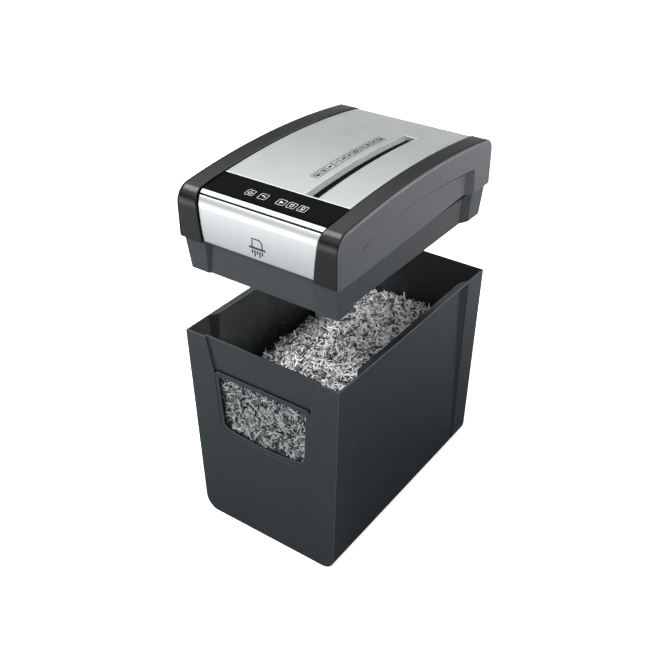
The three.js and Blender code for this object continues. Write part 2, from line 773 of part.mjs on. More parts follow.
function gearSolid(gear, angle) {
  return prism("y", gear.from, gear.to, gearOutline(gear, angle));
}

/** Angle at which gear b meshes with gear a, whose tooth stands at angleA. */
function meshAngle(a, angleA, atA, b, atB) {
  const towards = Math.atan2(atB[1] - atA[1], atB[0] - atA[0]);
  const phaseA = ((towards - angleA) * a.teeth) / (2 * Math.PI);
  return towards + Math.PI - ((0.5 - phaseA) * 2 * Math.PI) / b.teeth;
}

/** Outline (x, z) of a cutting disc with hooked teeth. */
function discOutline(turn) {
  const { discRadius: r, notch, teeth } = CUTTER;
  const step = (2 * Math.PI) / teeth;
  return Array.from({ length: teeth }, (_, i) => {
    const start = turn + i * step;
    const rim = arc(0, 0, r, start, start + step * 0.84, 4);
    const gullet = start + step * 0.99;
    return [...rim, v2((r - notch) * Math.cos(gullet), (r - notch) * Math.sin(gullet))];
  }).flat();
}

/** A cutter shaft along y through the origin, with its row of discs. */
function cutterShaft(first, count, from, to, hand) {
  const { discWidth, pitch, coreRadius, journal } = CUTTER;
  const coreFrom = PLATE.front + PLATE.thickness + 1.2;
  const coreTo = PLATE.rear - 1.2;
  let shaft = barY(0, 0, journal, from, to, 12).add(barY(0, 0, coreRadius, coreFrom, coreTo, 12));
  for (let i = 0; i < count; i += 1) {
    const y = first + i * pitch;
    const outline = discOutline(hand * i * CUTTER.turn);
    shaft = shaft.add(prism("y", y - discWidth / 2, y + discWidth / 2, outline));
  }
  return shaft;
}

function buildCutters() {
  const { left, right, first, pitch, count, journal } = CUTTER;
  const bore = (gear, solid) => solid.subtract(barY(0, 0, journal + GAP, gear.from - 1, gear.to + 1, 18));
  const syncAngle = 0;
  const syncMate = meshAngle(GEAR.sync, syncAngle, left, GEAR.sync, right);
  const place = ([x, z]) => [x, 0, z];
  const leftShaft = cutterShaft(first, count, GEAR.sync.from - 2, GEAR.drive.to + 2, 1);
  const rightShaft = cutterShaft(first + pitch / 2, count, GEAR.sync.from - 2, PLATE.rear + 4, -1);
  add(head, "cutter_shaft_left", leftShaft, MATERIAL.steel, place(left));
  add(head, "cutter_shaft_right", rightShaft, MATERIAL.steel, place(right));
  add(head, "sync_gear_left", bore(GEAR.sync, gearSolid(GEAR.sync, syncAngle)), MATERIAL.steel, place(left));
  add(head, "sync_gear_right", bore(GEAR.sync, gearSolid(GEAR.sync, syncMate)), MATERIAL.steel, place(right));

  const driveAngle = 0;
  const smallAngle = meshAngle(GEAR.drive, driveAngle, left, GEAR.idlerSmall, IDLER_AT);
  const largeAngle = 0;
  const pinionAngle = meshAngle(GEAR.idlerLarge, largeAngle, IDLER_AT, GEAR.pinion, MOTOR.at);
  add(head, "drive_gear", bore(GEAR.drive, gearSolid(GEAR.drive, driveAngle)), MATERIAL.nylon, place(left));
  const idler = gearSolid(GEAR.idlerLarge, largeAngle)
    .add(gearSolid(GEAR.idlerSmall, smallAngle))
    .subtract(barY(0, 0, IDLER_PIN + GAP, GEAR.idlerLarge.from - 1, GEAR.idlerSmall.to + 1, 16));
  add(head, "idler_gear", idler, MATERIAL.nylon, place(IDLER_AT));
  const pinion = gearSolid(GEAR.pinion, pinionAngle)
    .add(barY(0, 0, MOTOR.shaft, MOTOR.to - 20, GEAR.pinion.to, 16));
  add(head, "motor_pinion", pinion, MATERIAL.steel, place(MOTOR.at));
  const pin = barY(0, 0, IDLER_PIN, PLATE.rear, GEAR.idlerSmall.to + 2, 16);
  add(head, "idler_pin", pin, MATERIAL.steel, place(IDLER_AT));
}

// ---------- head: frame ----------

/** A bearing plate with holes for two bushes. */
function bearingPlate(y, left, top) {
  const { thickness, foot, right } = PLATE;
  const outline = [
    v2(left, foot),
    v2(right, foot),
    ...arc(right - 8, PLATE.top - 8, 8, 0, Math.PI / 2, 4),
    ...(left < PLATE.left ? [v2(PLATE.left + 20, PLATE.top), v2(PLATE.left, top)] : []),
    ...arc(left + 8, top - 8, 8, Math.PI / 2, Math.PI, 4),
  ];
  let plate = prism("y", y, y + thickness, outline);
  for (const [x, z] of [CUTTER.left, CUTTER.right]) {
    plate = plate.subtract(barY(x, z, BUSH.hole, y - 1, y + thickness + 1));
  }
  return plate;
}

function bush(name, [x, z], y) {
  const { thickness } = PLATE;
  const ring = barY(0, 0, BUSH.radius, y - BUSH.proud, y + thickness + BUSH.proud).subtract(
    barY(0, 0, CUTTER.journal + GAP, y - 2, y + thickness + 2, 18),
  );
  add(head, name, ring, MATERIAL.bronze, [x, 0, z]);
}

/** Stripper comb: a bar with a finger in each gap between the discs of one shaft. */
function combSolid(first, gaps) {
  const from = PLATE.front + PLATE.thickness + GAP;
  const to = PLATE.rear - GAP;
  const { fingerHalf, fingerRise, fingerTo } = COMB;
  let comb = block(COMB.barFrom, COMB.barTo, from, to, -COMB.barRise, COMB.barRise);
  for (let i = 0; i < gaps; i += 1) {
    const y = first + (i + 0.5) * CUTTER.pitch;
    comb = comb.add(block(COMB.barTo - 0.6, fingerTo, y - fingerHalf, y + fingerHalf, -fingerRise, fingerRise));
  }
  return comb;
}

function buildFrame() {
  const frontPlate = bearingPlate(PLATE.front, PLATE.left, PLATE.top);
  add(head, "bearing_plate_front", frontPlate, MATERIAL.steel);
  const [mx, mz] = MOTOR.at;
  const [ix, iz] = IDLER_AT;
  let rearPlate = bearingPlate(PLATE.rear, MOTOR_PLATE.left, MOTOR_PLATE.top)
    .subtract(barY(mx, mz, MOTOR_PLATE.hole, PLATE.rear - 1, PLATE.rear + 5))
    .subtract(barY(ix, iz, IDLER_PIN + GAP, PLATE.rear - 1, PLATE.rear + 5, 16));
  for (const dx of [-MOTOR.screwPitch, MOTOR.screwPitch]) {
    rearPlate = rearPlate.subtract(barY(mx + dx, mz, SCREW.hole, PLATE.rear - 1, PLATE.rear + 5, 12));
  }
  add(head, "bearing_plate_rear", rearPlate, MATERIAL.steel);

  bush("bush_front_left", CUTTER.left, PLATE.front);
  bush("bush_front_right", CUTTER.right, PLATE.front);
  bush("bush_rear_left", CUTTER.left, PLATE.rear);
  bush("bush_rear_right", CUTTER.right, PLATE.rear);

  TIE_ROD_AT.forEach(([x, z], i) => {
    const rod = barY(0, 0, TIE_ROD_RADIUS, PLATE.front + PLATE.thickness + GAP, PLATE.rear - GAP, 12);
    add(head, `tie_rod_${i + 1}`, rod, MATERIAL.steel, [x, 0, z]);
  });

  add(head, "stripper_comb_left", combSolid(CUTTER.first, CUTTER.count - 1), MATERIAL.blackPlastic);
  const middle = CUTTER.left[0] + CUTTER.right[0];
  const rightComb = leftHanded(combSolid(CUTTER.first + CUTTER.pitch / 2, CUTTER.count - 1));
  add(head, "stripper_comb_right", rightComb, MATERIAL.blackPlastic, [middle, 0, 0]);

  let motor = barY(0, 0, MOTOR.radius, MOTOR.from, MOTOR.to, 28)
    .add(barY(0, 0, 9, MOTOR.from - 5, MOTOR.from + 1, 16))
    .subtract(barY(0, 0, MOTOR.bore, MOTOR.to - 24, MOTOR.to + 1, 16));
  for (const dx of [-MOTOR.screwPitch, MOTOR.screwPitch]) {
    motor = motor.subtract(barY(dx, 0, SCREW.hole, MOTOR.to - 6, MOTOR.to + 1, 12));
  }
  add(head, "motor", motor, MATERIAL.steel, [mx, 0, mz]);
  [-MOTOR.screwPitch, MOTOR.screwPitch].forEach((dx, i) => {
    const screw = barY(0, 0, SCREW.shank, MOTOR.to - 5, PLATE.rear + 3.5, 12)
      .add(barY(0, 0, SCREW.head, PLATE.rear + PLATE.thickness + GAP, PLATE.rear + 5.2, 12));
    add(head, `motor_screw_${i + 1}`, screw, MATERIAL.steel, [mx + dx, 0, mz]);
  });
}

// ---------- head: sensor and switch ----------

function buildSensors() {
  const { pivot, y, arm, thickness, hub, pin } = SENSOR;
  const [px, pz] = pivot;
  const half = thickness / 2;
  const flag = barY(0, 0, hub, -half, half, 16)
    .add(block(0, arm, -half, half, -1.2, 1.2))
    .subtract(barY(0, 0, pin + GAP, -half - 1, half + 1, 12));
  add(head, "sensor_flag", flag, MATERIAL.blackPlastic, [px, y, pz]);
  const reach = half + 3;
  const cheek = (y0, y1) => block(-4, 3, y0, y1, -10, 4);
  const bracket = union(
    barY(0, 0, pin, -reach, reach, 12),
    cheek(half + 1, reach),
    cheek(-reach, -half - 1),
    block(-6.5, -4, -reach, reach, -10, 4),
  );
  add(head, "sensor_bracket", bracket, MATERIAL.nylon, [px, y, pz]);

  const { x, radius, travelRoom, foot, height, halfX, halfY } = SWITCH;
  const body = block(-halfX, halfX, -halfY, halfY, foot, foot + height).subtract(
    barZ(0, 0, radius + GAP, foot - 1, foot + 4 + travelRoom, 12),
  );
  add(head, "bin_switch", body, MATERIAL.blackPlastic, [x, SWITCH.y, 0]);
  add(head, "switch_plunger", barZ(0, 0, radius, GAP, foot + 3.5, 12), MATERIAL.nylon, [x, SWITCH.y, 0]);
}

buildBin();
buildHeap();
buildLowerCasing();
buildRails();
buildSideCovers();
buildFront();
buildControls();
buildTopPanel();
buildThroatGuide();
buildRearCover();
buildFrame();
buildCutters();
buildSensors();

export default shredder;
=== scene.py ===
"""Visual model of a lift-off paper shredder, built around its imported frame.

Everything is in metres, +Z up, with the window and the fascia towards -Y. The cutting head is
raised above the bin, and every piece rides on the frame's body that carries it.
"""

from __future__ import annotations

import json
import logging
import math
import random
from dataclasses import dataclass, field
from enum import Enum
from itertools import accumulate
from typing import Callable, Iterable, Sequence

import bmesh
import bpy
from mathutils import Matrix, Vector
from mathutils.bvhtree import BVHTree


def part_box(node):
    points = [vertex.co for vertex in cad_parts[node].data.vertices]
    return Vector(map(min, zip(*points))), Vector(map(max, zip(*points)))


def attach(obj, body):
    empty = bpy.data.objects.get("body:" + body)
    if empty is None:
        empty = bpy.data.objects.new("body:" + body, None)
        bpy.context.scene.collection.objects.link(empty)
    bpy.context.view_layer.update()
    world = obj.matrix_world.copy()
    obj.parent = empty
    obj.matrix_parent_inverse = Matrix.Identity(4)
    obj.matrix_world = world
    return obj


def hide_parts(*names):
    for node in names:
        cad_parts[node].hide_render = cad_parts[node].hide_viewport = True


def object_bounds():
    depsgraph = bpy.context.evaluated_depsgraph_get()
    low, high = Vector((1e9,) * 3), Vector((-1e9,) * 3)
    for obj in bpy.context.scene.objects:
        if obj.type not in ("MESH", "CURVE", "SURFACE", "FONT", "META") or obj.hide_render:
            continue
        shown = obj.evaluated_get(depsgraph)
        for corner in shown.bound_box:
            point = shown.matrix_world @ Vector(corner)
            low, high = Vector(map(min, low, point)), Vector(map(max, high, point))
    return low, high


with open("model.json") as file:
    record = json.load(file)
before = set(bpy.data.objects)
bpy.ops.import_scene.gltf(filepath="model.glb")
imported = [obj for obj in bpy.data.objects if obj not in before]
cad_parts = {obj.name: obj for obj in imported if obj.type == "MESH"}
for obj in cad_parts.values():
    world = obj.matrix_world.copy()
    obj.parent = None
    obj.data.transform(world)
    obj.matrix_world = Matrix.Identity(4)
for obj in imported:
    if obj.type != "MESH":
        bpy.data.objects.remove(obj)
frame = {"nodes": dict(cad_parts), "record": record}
cad_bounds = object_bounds()

LOG = logging.getLogger("shredder")
MM = 0.001

Point2 = tuple[float, float]
Point3 = tuple[float, float, float]
Colour = tuple[float, float, float, float]

# Corners of the frame's meshes nearer than this are one, and faces that turn by less are one face.
WELD = 0.004 * MM
FLAT_DEG = 0.35


class Body(str, Enum):
    """The moving bodies of the frame."""

    BIN = "bin"
    HEAD = "head"
    POWER_KEY = "power_button"
    REVERSE_KEY = "reverse_button"


class Slot(str, Enum):
    """The material slots of the frame's record."""

    BIN_PLASTIC = "bin_plastic"
    SMOKED_WINDOW = "smoked_window"
    SHREDDED_PAPER = "shredded_paper"
    CASING_PLASTIC = "casing_plastic"
    COVER_PLASTIC = "cover_plastic"
    RAIL_PLASTIC = "rail_plastic"
    SILVER_PANEL = "silver_panel"
    GLOSS_BLACK = "gloss_black"
    LIGHT_LENS = "light_lens"
    BLACK_NYLON = "black_nylon"
    NATURAL_NYLON = "natural_nylon"
    STEEL = "steel"
    HARDENED_STEEL = "hardened_steel"
    MOTOR_CAN = "motor_can"
    SINTERED_BRONZE = "sintered_bronze"
    BOARD = "board"


# ---------------------------------------------------------------- small tools


def linear(colour: str) -> Colour:
    """Turns an sRGB hex colour into the linear RGBA that shaders take.

    Args:
        colour: a value such as "#4a4d4f".

    Returns:
        Linear red, green, blue and an alpha of one.
    """
    channels = [int(colour[i : i + 2], 16) / 255 for i in (1, 3, 5)]
    red, green, blue = (c / 12.92 if c <= 0.04045 else ((c + 0.055) / 1.055) ** 2.4 for c in channels)
    return red, green, blue, 1.0


def scaled(colour: Colour, factor: float, lift: float = 0.0) -> Colour:
    """Makes a linear colour darker or brighter.

    Args:
        colour: the linear colour.
        factor: what each channel is multiplied by.
        lift: what is then added to each channel.

    Returns:
        The new colour, with no channel over one.
    """
    red, green, blue = (min(1.0, c * factor + lift) for c in colour[:3])
    return red, green, blue, 1.0


def add_node(
    tree: bpy.types.NodeTree,
    kind: str,
    settings: dict[str, object] | None = None,
    inputs: dict[int | str, object] | None = None,
) -> bpy.types.Node:
    """Adds one shader node with its settings, values and links.

    Args:
        tree: the node tree that takes the node.
        kind: the node's Blender type name.
        settings: properties of the node.
        inputs: sockets by name or number, each with a value or with the output to link.

    Returns:
        The new node.
    """
    node = tree.nodes.new(kind)
    for name, value in (settings or {}).items():
        setattr(node, name, value)
    for key, value in (inputs or {}).items():
        if isinstance(value, bpy.types.NodeSocket):
            tree.links.new(value, node.inputs[key])
        else:
            node.inputs[key].default_value = value
    return node


def new_piece(
    name: str,
    mesh: bpy.types.Mesh,
    material: bpy.types.Material,
    body: Body,
    node: str | None = None,
) -> bpy.types.Object:
    """Links a mesh as a piece, kept inside the frame's box, with its finish and body.

    Args:
        name: the piece's name.
        mesh: its geometry, in the frame's coordinates.
        material: its finish.
        body: the body that carries it.
        node: the frame node that it stands for, if any.

    Returns:
        The new object.
    """
    low, high = (Vector(corner) for corner in cad_bounds)
    for vertex in mesh.vertices:
        inside = (min(max(c, a), b) for c, a, b in zip(vertex.co, low, high))
        vertex.co = Vector(inside)
    piece = bpy.data.objects.new(name, mesh)
    bpy.context.scene.collection.objects.link(piece)
    mesh.materials.clear()
    mesh.materials.append(material)
    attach(piece, body.value)
    if node is not None:
        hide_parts(node)
    return piece


def smooth_mesh(
    name: str, points: Sequence[Sequence[float]], faces: Sequence[Sequence[int]], sharp_deg: float
) -> bpy.types.Mesh:
    """Makes a mesh that is smooth except where faces meet at more than an angle.

    Args:
        name: the mesh's name.
        points: its vertices.
        faces: its faces, as lists of vertex numbers.
        sharp_deg: edges that turn by more than this stay sharp.

    Returns:
        The mesh, with its faces pointing out.
    """
    mesh = bpy.data.meshes.new(name)
    mesh.from_pydata([tuple(p) for p in points], [], faces)
    solid = bmesh.new()
    solid.from_mesh(mesh)
    bmesh.ops.recalc_face_normals(solid, faces=solid.faces)
    solid.to_mesh(mesh)
    solid.free()
    finish_shading(mesh, sharp_deg)
    return mesh


def finish_shading(mesh: bpy.types.Mesh, sharp_deg: float) -> None:
    """Shades a mesh smooth, with sharp edges over an angle.

    Args:
        mesh: the mesh.
        sharp_deg: edges that turn by more than this stay sharp.
    """
    mesh.polygons.foreach_set("use_smooth", [True] * len(mesh.polygons))
    mesh.set_sharp_from_angle(angle=math.radians(sharp_deg))
    mesh.update()


# ---------------------------------------------------------------- finishes


@dataclass(frozen=True)
class Finish:
    """A surface finish: what the material is and how it was made."""

    name: str
    colour: str

    def begin(self) -> tuple[bpy.types.Material, bpy.types.NodeTree, bpy.types.Node, bpy.types.NodeSocket]:
        """Starts a material.

        Returns:
            The material, its tree, its shader node and the coordinates in metres.
        """
        material = bpy.data.materials.new(self.name)
        material.use_nodes = True
        tree = material.node_tree
        tree.nodes.clear()
        shader = add_node(tree, "ShaderNodeBsdfPrincipled")
        add_node(tree, "ShaderNodeOutputMaterial", inputs={"Surface": shader.outputs[0]})
        place = add_node(tree, "ShaderNodeTexCoord").outputs["Object"]
        return material, tree, shader, place


@dataclass(frozen=True)
class MouldedPlastic(Finish):
    """ABS or nylon from a mould: an even colour, a fine spark-eroded grain, handling marks, and corners
    painted lighter as a painted highlight.
    """

    roughness: float = 0.4
    ior: float = 1.5
    specular: float = 0.5
    # A real spark-eroded grain is under half a millimetre: this one is as coarse as it needs to show.
    grain_mm: float = 1.3
    grain_depth_mm: float = 0.012
    cloud_mm: float = 55
    smear_mm: float = 22
    # A painted highlight: the corners are painted lighter, as if each round caught the light.
    highlight_round_mm: float = 0.9
    # How far a corner's eased slope agrees with its face where the painted edge highlight starts, and where
    # it is full.
    highlight_turn: Point2 = (0.985, 0.88)
    edge_highlight: float = 0.25

    def build(self) -> bpy.types.Material:
        """Makes the material: colour clouds, corners painted lighter as a painted highlight, grain, and
        rubbed patches.

        Returns:
            The material.
        """
        material, tree, shader, place = self.begin()
        cloud = add_node(tree, "ShaderNodeTexNoise", inputs={
            "Vector": place, "Scale": 1 / (self.cloud_mm * MM), "Detail": 4.0,
        })
        base = linear(self.colour)
        tint = add_node(tree, "ShaderNodeMix", {"data_type": "RGBA"}, {
            0: cloud.outputs[0], 6: scaled(base, 0.9), 7: scaled(base, 1.1),
        })
        # The corners are painted lighter, a painted highlight that draws each round as a thin light line.
        flat = add_node(tree, "ShaderNodeNewGeometry").outputs["Normal"]
        eased = add_node(tree, "ShaderNodeBevel", {"samples": 4}, {"Radius": self.highlight_round_mm * MM})
        agree = add_node(tree, "ShaderNodeVectorMath", {"operation": "DOT_PRODUCT"}, {
            0: flat, 1: eased.outputs[0],
        })
        edge_highlight_mask = add_node(tree, "ShaderNodeMapRange", inputs={
            "Value": agree.outputs["Value"], "From Min": self.highlight_turn[0], "From Max": self.highlight_turn[1],
            "To Min": 0.0, "To Max": self.edge_highlight,
        })
        colour = add_node(tree, "ShaderNodeMix", {"data_type": "RGBA"}, {
            0: edge_highlight_mask.outputs[0], 6: tint.outputs[2], 7: scaled(base, 2.4, 0.03),
        })
        tree.links.new(colour.outputs[2], shader.inputs["Base Color"])

        smear = add_node(tree, "ShaderNodeTexNoise", inputs={
            "Vector": place, "Scale": 1 / (self.smear_mm * MM), "Detail": 6.0, "Roughness": 0.65,
        })
        rough = add_node(tree, "ShaderNodeMapRange", inputs={
            "Value": smear.outputs[0], "From Min": 0.3, "From Max": 0.7,
            "To Min": self.roughness * 0.86, "To Max": min(1.0, self.roughness * 1.16),
        })
        tree.links.new(rough.outputs[0], shader.inputs["Roughness"])

        grain = add_node(tree, "ShaderNodeTexNoise", inputs={
            "Vector": place, "Scale": 1 / (self.grain_mm * MM), "Detail": 3.0,
        })
        bump = add_node(tree, "ShaderNodeBump", inputs={
            "Height": grain.outputs[0], "Distance": self.grain_depth_mm * MM, "Strength": 0.8,
        })
        tree.links.new(bump.outputs[0], shader.inputs["Normal"])
        shader.inputs["IOR"].default_value = self.ior
        shader.inputs["Specular IOR Level"].default_value = self.specular
        return material


@dataclass(frozen=True)
class SilverLacquer(Finish):
    """Silver metallic lacquer sprayed on ABS: satin, with fine aluminium flakes under it."""

    roughness: float = 0.34
    metallic: float = 0.82
    # Real flakes are a few hundredths of a millimetre: these are as coarse as they need to show.
    flake_mm: float = 0.5
    haze_mm: float = 30
    peel_mm: float = 1.6
    peel_depth_mm: float = 0.008

    def build(self) -> bpy.types.Material:
        """Makes the material: flakes tilt the light a little, and the lacquer has a soft orange peel.

        Returns:
            The material.
        """
        material, tree, shader, place = self.begin()
        base = linear(self.colour)
        flakes = add_node(tree, "ShaderNodeTexVoronoi", inputs={
            "Vector": place, "Scale": 1 / (self.flake_mm * MM),
        })
        level = add_node(tree, "ShaderNodeMapRange", inputs={
            "Value": flakes.outputs["Distance"], "To Min": 0.35, "To Max": 0.65,
        })
        tint = add_node(tree, "ShaderNodeMix", {"data_type": "RGBA"}, {
            0: level.outputs[0], 6: scaled(base, 0.93), 7: scaled(base, 1.06),
        })
        tree.links.new(tint.outputs[2], shader.inputs["Base Color"])
        haze = add_node(tree, "ShaderNodeTexNoise", inputs={
            "Vector": place, "Scale": 1 / (self.haze_mm * MM), "Detail": 5.0,
        })
        rough = add_node(tree, "ShaderNodeMapRange", inputs={
            "Value": haze.outputs[0], "From Min": 0.3, "From Max": 0.7,
            "To Min": self.roughness * 0.92, "To Max": self.roughness * 1.1,
        })
        tree.links.new(rough.outputs[0], shader.inputs["Roughness"])
        peel = add_node(tree, "ShaderNodeTexNoise", inputs={
            "Vector": place, "Scale": 1 / (self.peel_mm * MM), "Detail": 2.0,
        })
        bump = add_node(tree, "ShaderNodeBump", inputs={
            "Height": peel.outputs[0], "Distance": self.peel_depth_mm * MM, "Strength": 0.6,
        })
        tree.links.new(bump.outputs[0], shader.inputs["Normal"])
        shader.inputs["Metallic"].default_value = self.metallic
        return material


@dataclass(frozen=True)
class PolishedAcrylic(Finish):
    """Black acrylic with a mirror polish, and the hairlines and dust that such a panel shows."""

    roughness: float = 0.07
    ior: float = 1.49
    specular: float = 0.03
    dust: str = "#3a3d40"
    # Real hairlines are finer than a hair: these are as wide as they need to show.
    hair_length_mm: float = 25
    hair_width_mm: float = 1.11
    hair_turn: float = 0.7
    dust_mm: float = 0.8

    def build(self) -> bpy.types.Material:
        """Makes the material: hairline scratches and dust raise the roughness in places.

        Returns:
            The material.
        """
        material, tree, shader, place = self.begin()
        along, across = 1 / (self.hair_length_mm * MM), 1 / (self.hair_width_mm * MM)
        hair = add_node(tree, "ShaderNodeMapping", inputs={
            "Vector": place, "Rotation": (0.0, 0.0, self.hair_turn), "Scale": (along, across, across),
        })
        lines = add_node(tree, "ShaderNodeTexNoise", inputs={
            "Vector": hair.outputs[0], "Scale": 1.0, "Detail": 2.0,
        })
        rough = add_node(tree, "ShaderNodeMapRange", inputs={
            "Value": lines.outputs[0], "From Min": 0.55, "From Max": 0.8,
            "To Min": self.roughness, "To Max": self.roughness + 0.12,
        })
        tree.links.new(rough.outputs[0], shader.inputs["Roughness"])
        dust = add_node(tree, "ShaderNodeTexNoise", inputs={
            "Vector": place, "Scale": 1 / (self.dust_mm * MM), "Detail": 2.0,
        })
        specks = add_node(tree, "ShaderNodeMapRange", inputs={
            "Value": dust.outputs[0], "From Min": 0.72, "From Max": 0.8, "To Max": 0.25,
        })
        tint = add_node(tree, "ShaderNodeMix", {"data_type": "RGBA"}, {
            0: specks.outputs[0], 6: linear(self.colour), 7: linear(self.dust),
        })
        tree.links.new(tint.outputs[2], shader.inputs["Base Color"])
        shader.inputs["IOR"].default_value = self.ior
        shader.inputs["Specular IOR Level"].default_value = self.specular
        return material


@dataclass(frozen=True)
class SmokedStyrene(Finish):
    """Smoked clear polystyrene, moulded and polished: the shreds show through it, a little darker."""

    skin: str = "#050606"
    roughness: float = 0.05
    ior: float = 1.5
    wave_mm: float = 35
    wave_depth_mm: float = 0.1

    def build(self) -> bpy.types.Material:
        """Makes the material: a clear tint under a glossy skin with faint flow waves from the mould.

        Returns:
            The material.
        """
        material, tree, shader, place = self.begin()
        waves = add_node(tree, "ShaderNodeTexNoise", inputs={
            "Vector": place, "Scale": 1 / (self.wave_mm * MM), "Detail": 2.0,
        })
        bump = add_node(tree, "ShaderNodeBump", inputs={
            "Height": waves.outputs[0], "Distance": self.wave_depth_mm * MM, "Strength": 0.2,
        })
        rough = add_node(tree, "ShaderNodeMapRange", inputs={
            "Value": waves.outputs[0], "To Min": self.roughness * 0.6, "To Max": self.roughness * 1.6,
        })
        tree.links.new(rough.outputs[0], shader.inputs["Roughness"])
        tree.links.new(bump.outputs[0], shader.inputs["Normal"])
        shader.inputs["Base Color"].default_value = linear(self.skin)
        shader.inputs["IOR"].default_value = self.ior
        # A plain see-through tint lets the light reach the shreds, as it does through so thin a pane.
        clear = add_node(tree, "ShaderNodeBsdfTransparent", inputs={"Color": linear(self.colour)})
        slant = add_node(tree, "ShaderNodeLayerWeight", inputs={"Blend": 0.12, "Normal": bump.outputs[0]})
        share = add_node(tree, "ShaderNodeMapRange", inputs={
            "Value": slant.outputs["Fresnel"], "To Min": 0.04, "To Max": 0.9,
        })
        both = add_node(tree, "ShaderNodeMixShader", inputs={
            0: share.outputs[0], 1: clear.outputs[0], 2: shader.outputs[0],
        })
        output = next(node for node in tree.nodes if node.type == "OUTPUT_MATERIAL")
        tree.links.new(both.outputs[0], output.inputs["Surface"])
        return material


@dataclass(frozen=True)
class OfficePaper(Finish):
    """Uncoated office paper cut to strips: each has its own shade, some carry print, and the darkest are
    partly painted shade.
    """

    # Toner black, and the low end of each strip's shade: partly print, partly painted shade.
    dark: str = "#1b1d1e"
    roughness: float = 0.85
    # Real fibres are finer: the mottle is as coarse as it needs to show.
    fibre_mm: float = 1.1
    fibre_depth_mm: float = 0.05

    def build(self) -> bpy.types.Material:
        """Makes the material: the shade comes from each strip, with fibre mottle and toner marks.

        Returns:
            The material.
        """
        material, tree, shader, place = self.begin()
        shade = add_node(tree, "ShaderNodeAttribute", {"attribute_name": "shade"}).outputs["Fac"]
        paper = add_node(tree, "ShaderNodeMix", {"data_type": "RGBA"}, {
            0: shade, 6: linear(self.dark), 7: linear(self.colour),
        })
        fibre = add_node(tree, "ShaderNodeTexNoise", inputs={
            "Vector": place, "Scale": 1 / (self.fibre_mm * MM), "Detail": 3.0,
        })
        toner = add_node(tree, "ShaderNodeMapRange", inputs={
            "Value": fibre.outputs[0], "From Min": 0.58, "From Max": 0.66, "To Max": 0.25,
        })
        printed = add_node(tree, "ShaderNodeMix", {"data_type": "RGBA"}, {
            0: toner.outputs[0], 6: paper.outputs[2], 7: linear(self.dark),
        })
        tree.links.new(printed.outputs[2], shader.inputs["Base Color"])
        bump = add_node(tree, "ShaderNodeBump", inputs={
            "Height": fibre.outputs[0], "Distance": self.fibre_depth_mm * MM, "Strength": 0.5,
        })
        tree.links.new(bump.outputs[0], shader.inputs["Normal"])
        shader.inputs["Roughness"].default_value = self.roughness
        return material


class MetalWork(Enum):
    """How a metal surface was worked: how many times closer its lines lie along x, y and z."""

    TURNED = (1.0, 1.0, 140.0)
    ROLLED = (6.0, 60.0, 6.0)
    PRESSED = (9.0, 9.0, 9.0)


@dataclass(frozen=True)
class BareMetal(Finish):
    """Steel or bronze, turned, rolled or pressed: fine tool lines along the way that it was worked."""

    roughness: float = 0.3
    work: MetalWork = MetalWork.TURNED
    # The spacing of the tool lines before the working draws them closer.
    line_mm: float = 4.8
    line_depth_mm: float = 0.02
    oil_mm: float = 12

    def build(self) -> bpy.types.Material:
        """Makes the material: tool lines in the bump and the roughness, oil haze in the colour.

        Returns:
            The material.
        """
        material, tree, shader, place = self.begin()
        stretch = add_node(tree, "ShaderNodeMapping", inputs={"Vector": place, "Scale": self.work.value})
        lines = add_node(tree, "ShaderNodeTexNoise", inputs={
            "Vector": stretch.outputs[0], "Scale": 1 / (self.line_mm * MM), "Detail": 4.0,
        })
        rough = add_node(tree, "ShaderNodeMapRange", inputs={
            "Value": lines.outputs[0], "To Min": self.roughness * 0.7, "To Max": self.roughness * 1.4,
        })
        tree.links.new(rough.outputs[0], shader.inputs["Roughness"])
        bump = add_node(tree, "ShaderNodeBump", inputs={
            "Height": lines.outputs[0], "Distance": self.line_depth_mm * MM, "Strength": 0.5,
        })
        tree.links.new(bump.outputs[0], shader.inputs["Normal"])
        oil = add_node(tree, "ShaderNodeTexNoise", inputs={
            "Vector": place, "Scale": 1 / (self.oil_mm * MM), "Detail": 3.0,
        })
        base = linear(self.colour)
        tint = add_node(tree, "ShaderNodeMix", {"data_type": "RGBA"}, {
            0: oil.outputs[0], 6: scaled(base, 0.75), 7: base,
        })
        tree.links.new(tint.outputs[2], shader.inputs["Base Color"])
        shader.inputs["Metallic"].default_value = 1.0
        return material


@dataclass(frozen=True)
class GlassEpoxyBoard(Finish):
    """Glass-epoxy circuit board under green solder mask, with lighter copper tracks."""

    shade: str = "#1a5230"
    track: str = "#3c8f55"
    roughness: float = 0.3
    track_mm: float = 9.6

    def build(self) -> bpy.types.Material:
        """Makes the material: a square pattern of tracks seen through the mask.

        Returns:
            The material.
        """
        material, tree, shader, place = self.begin()
        tracks = add_node(tree, "ShaderNodeTexBrick", inputs={
            "Vector": place, "Color1": linear(self.colour), "Color2": linear(self.shade),
            "Mortar": linear(self.track), "Scale": 1 / (self.track_mm * MM), "Mortar Size": 0.03,
        })
        tree.links.new(tracks.outputs["Color"], shader.inputs["Base Color"])
        shader.inputs["Roughness"].default_value = self.roughness
        return material


@dataclass(frozen=True)
class PadPrint(Finish):
    """Pad-printed ink: a thin matt film, a little uneven."""

    roughness: float = 0.55
    mottle_mm: float = 0.7

    def build(self) -> bpy.types.Material:
        """Makes the material: matt, with the slight mottle of a printing pad.

        Returns:
            The material.
        """
        material, tree, shader, place = self.begin()
        mottle = add_node(tree, "ShaderNodeTexNoise", inputs={
            "Vector": place, "Scale": 1 / (self.mottle_mm * MM), "Detail": 2.0,
        })
        base = linear(self.colour)
        tint = add_node(tree, "ShaderNodeMix", {"data_type": "RGBA"}, {
            0: mottle.outputs[0], 6: scaled(base, 0.88), 7: base,
        })
        tree.links.new(tint.outputs[2], shader.inputs["Base Color"])
        shader.inputs["Roughness"].default_value = self.roughness
        return material


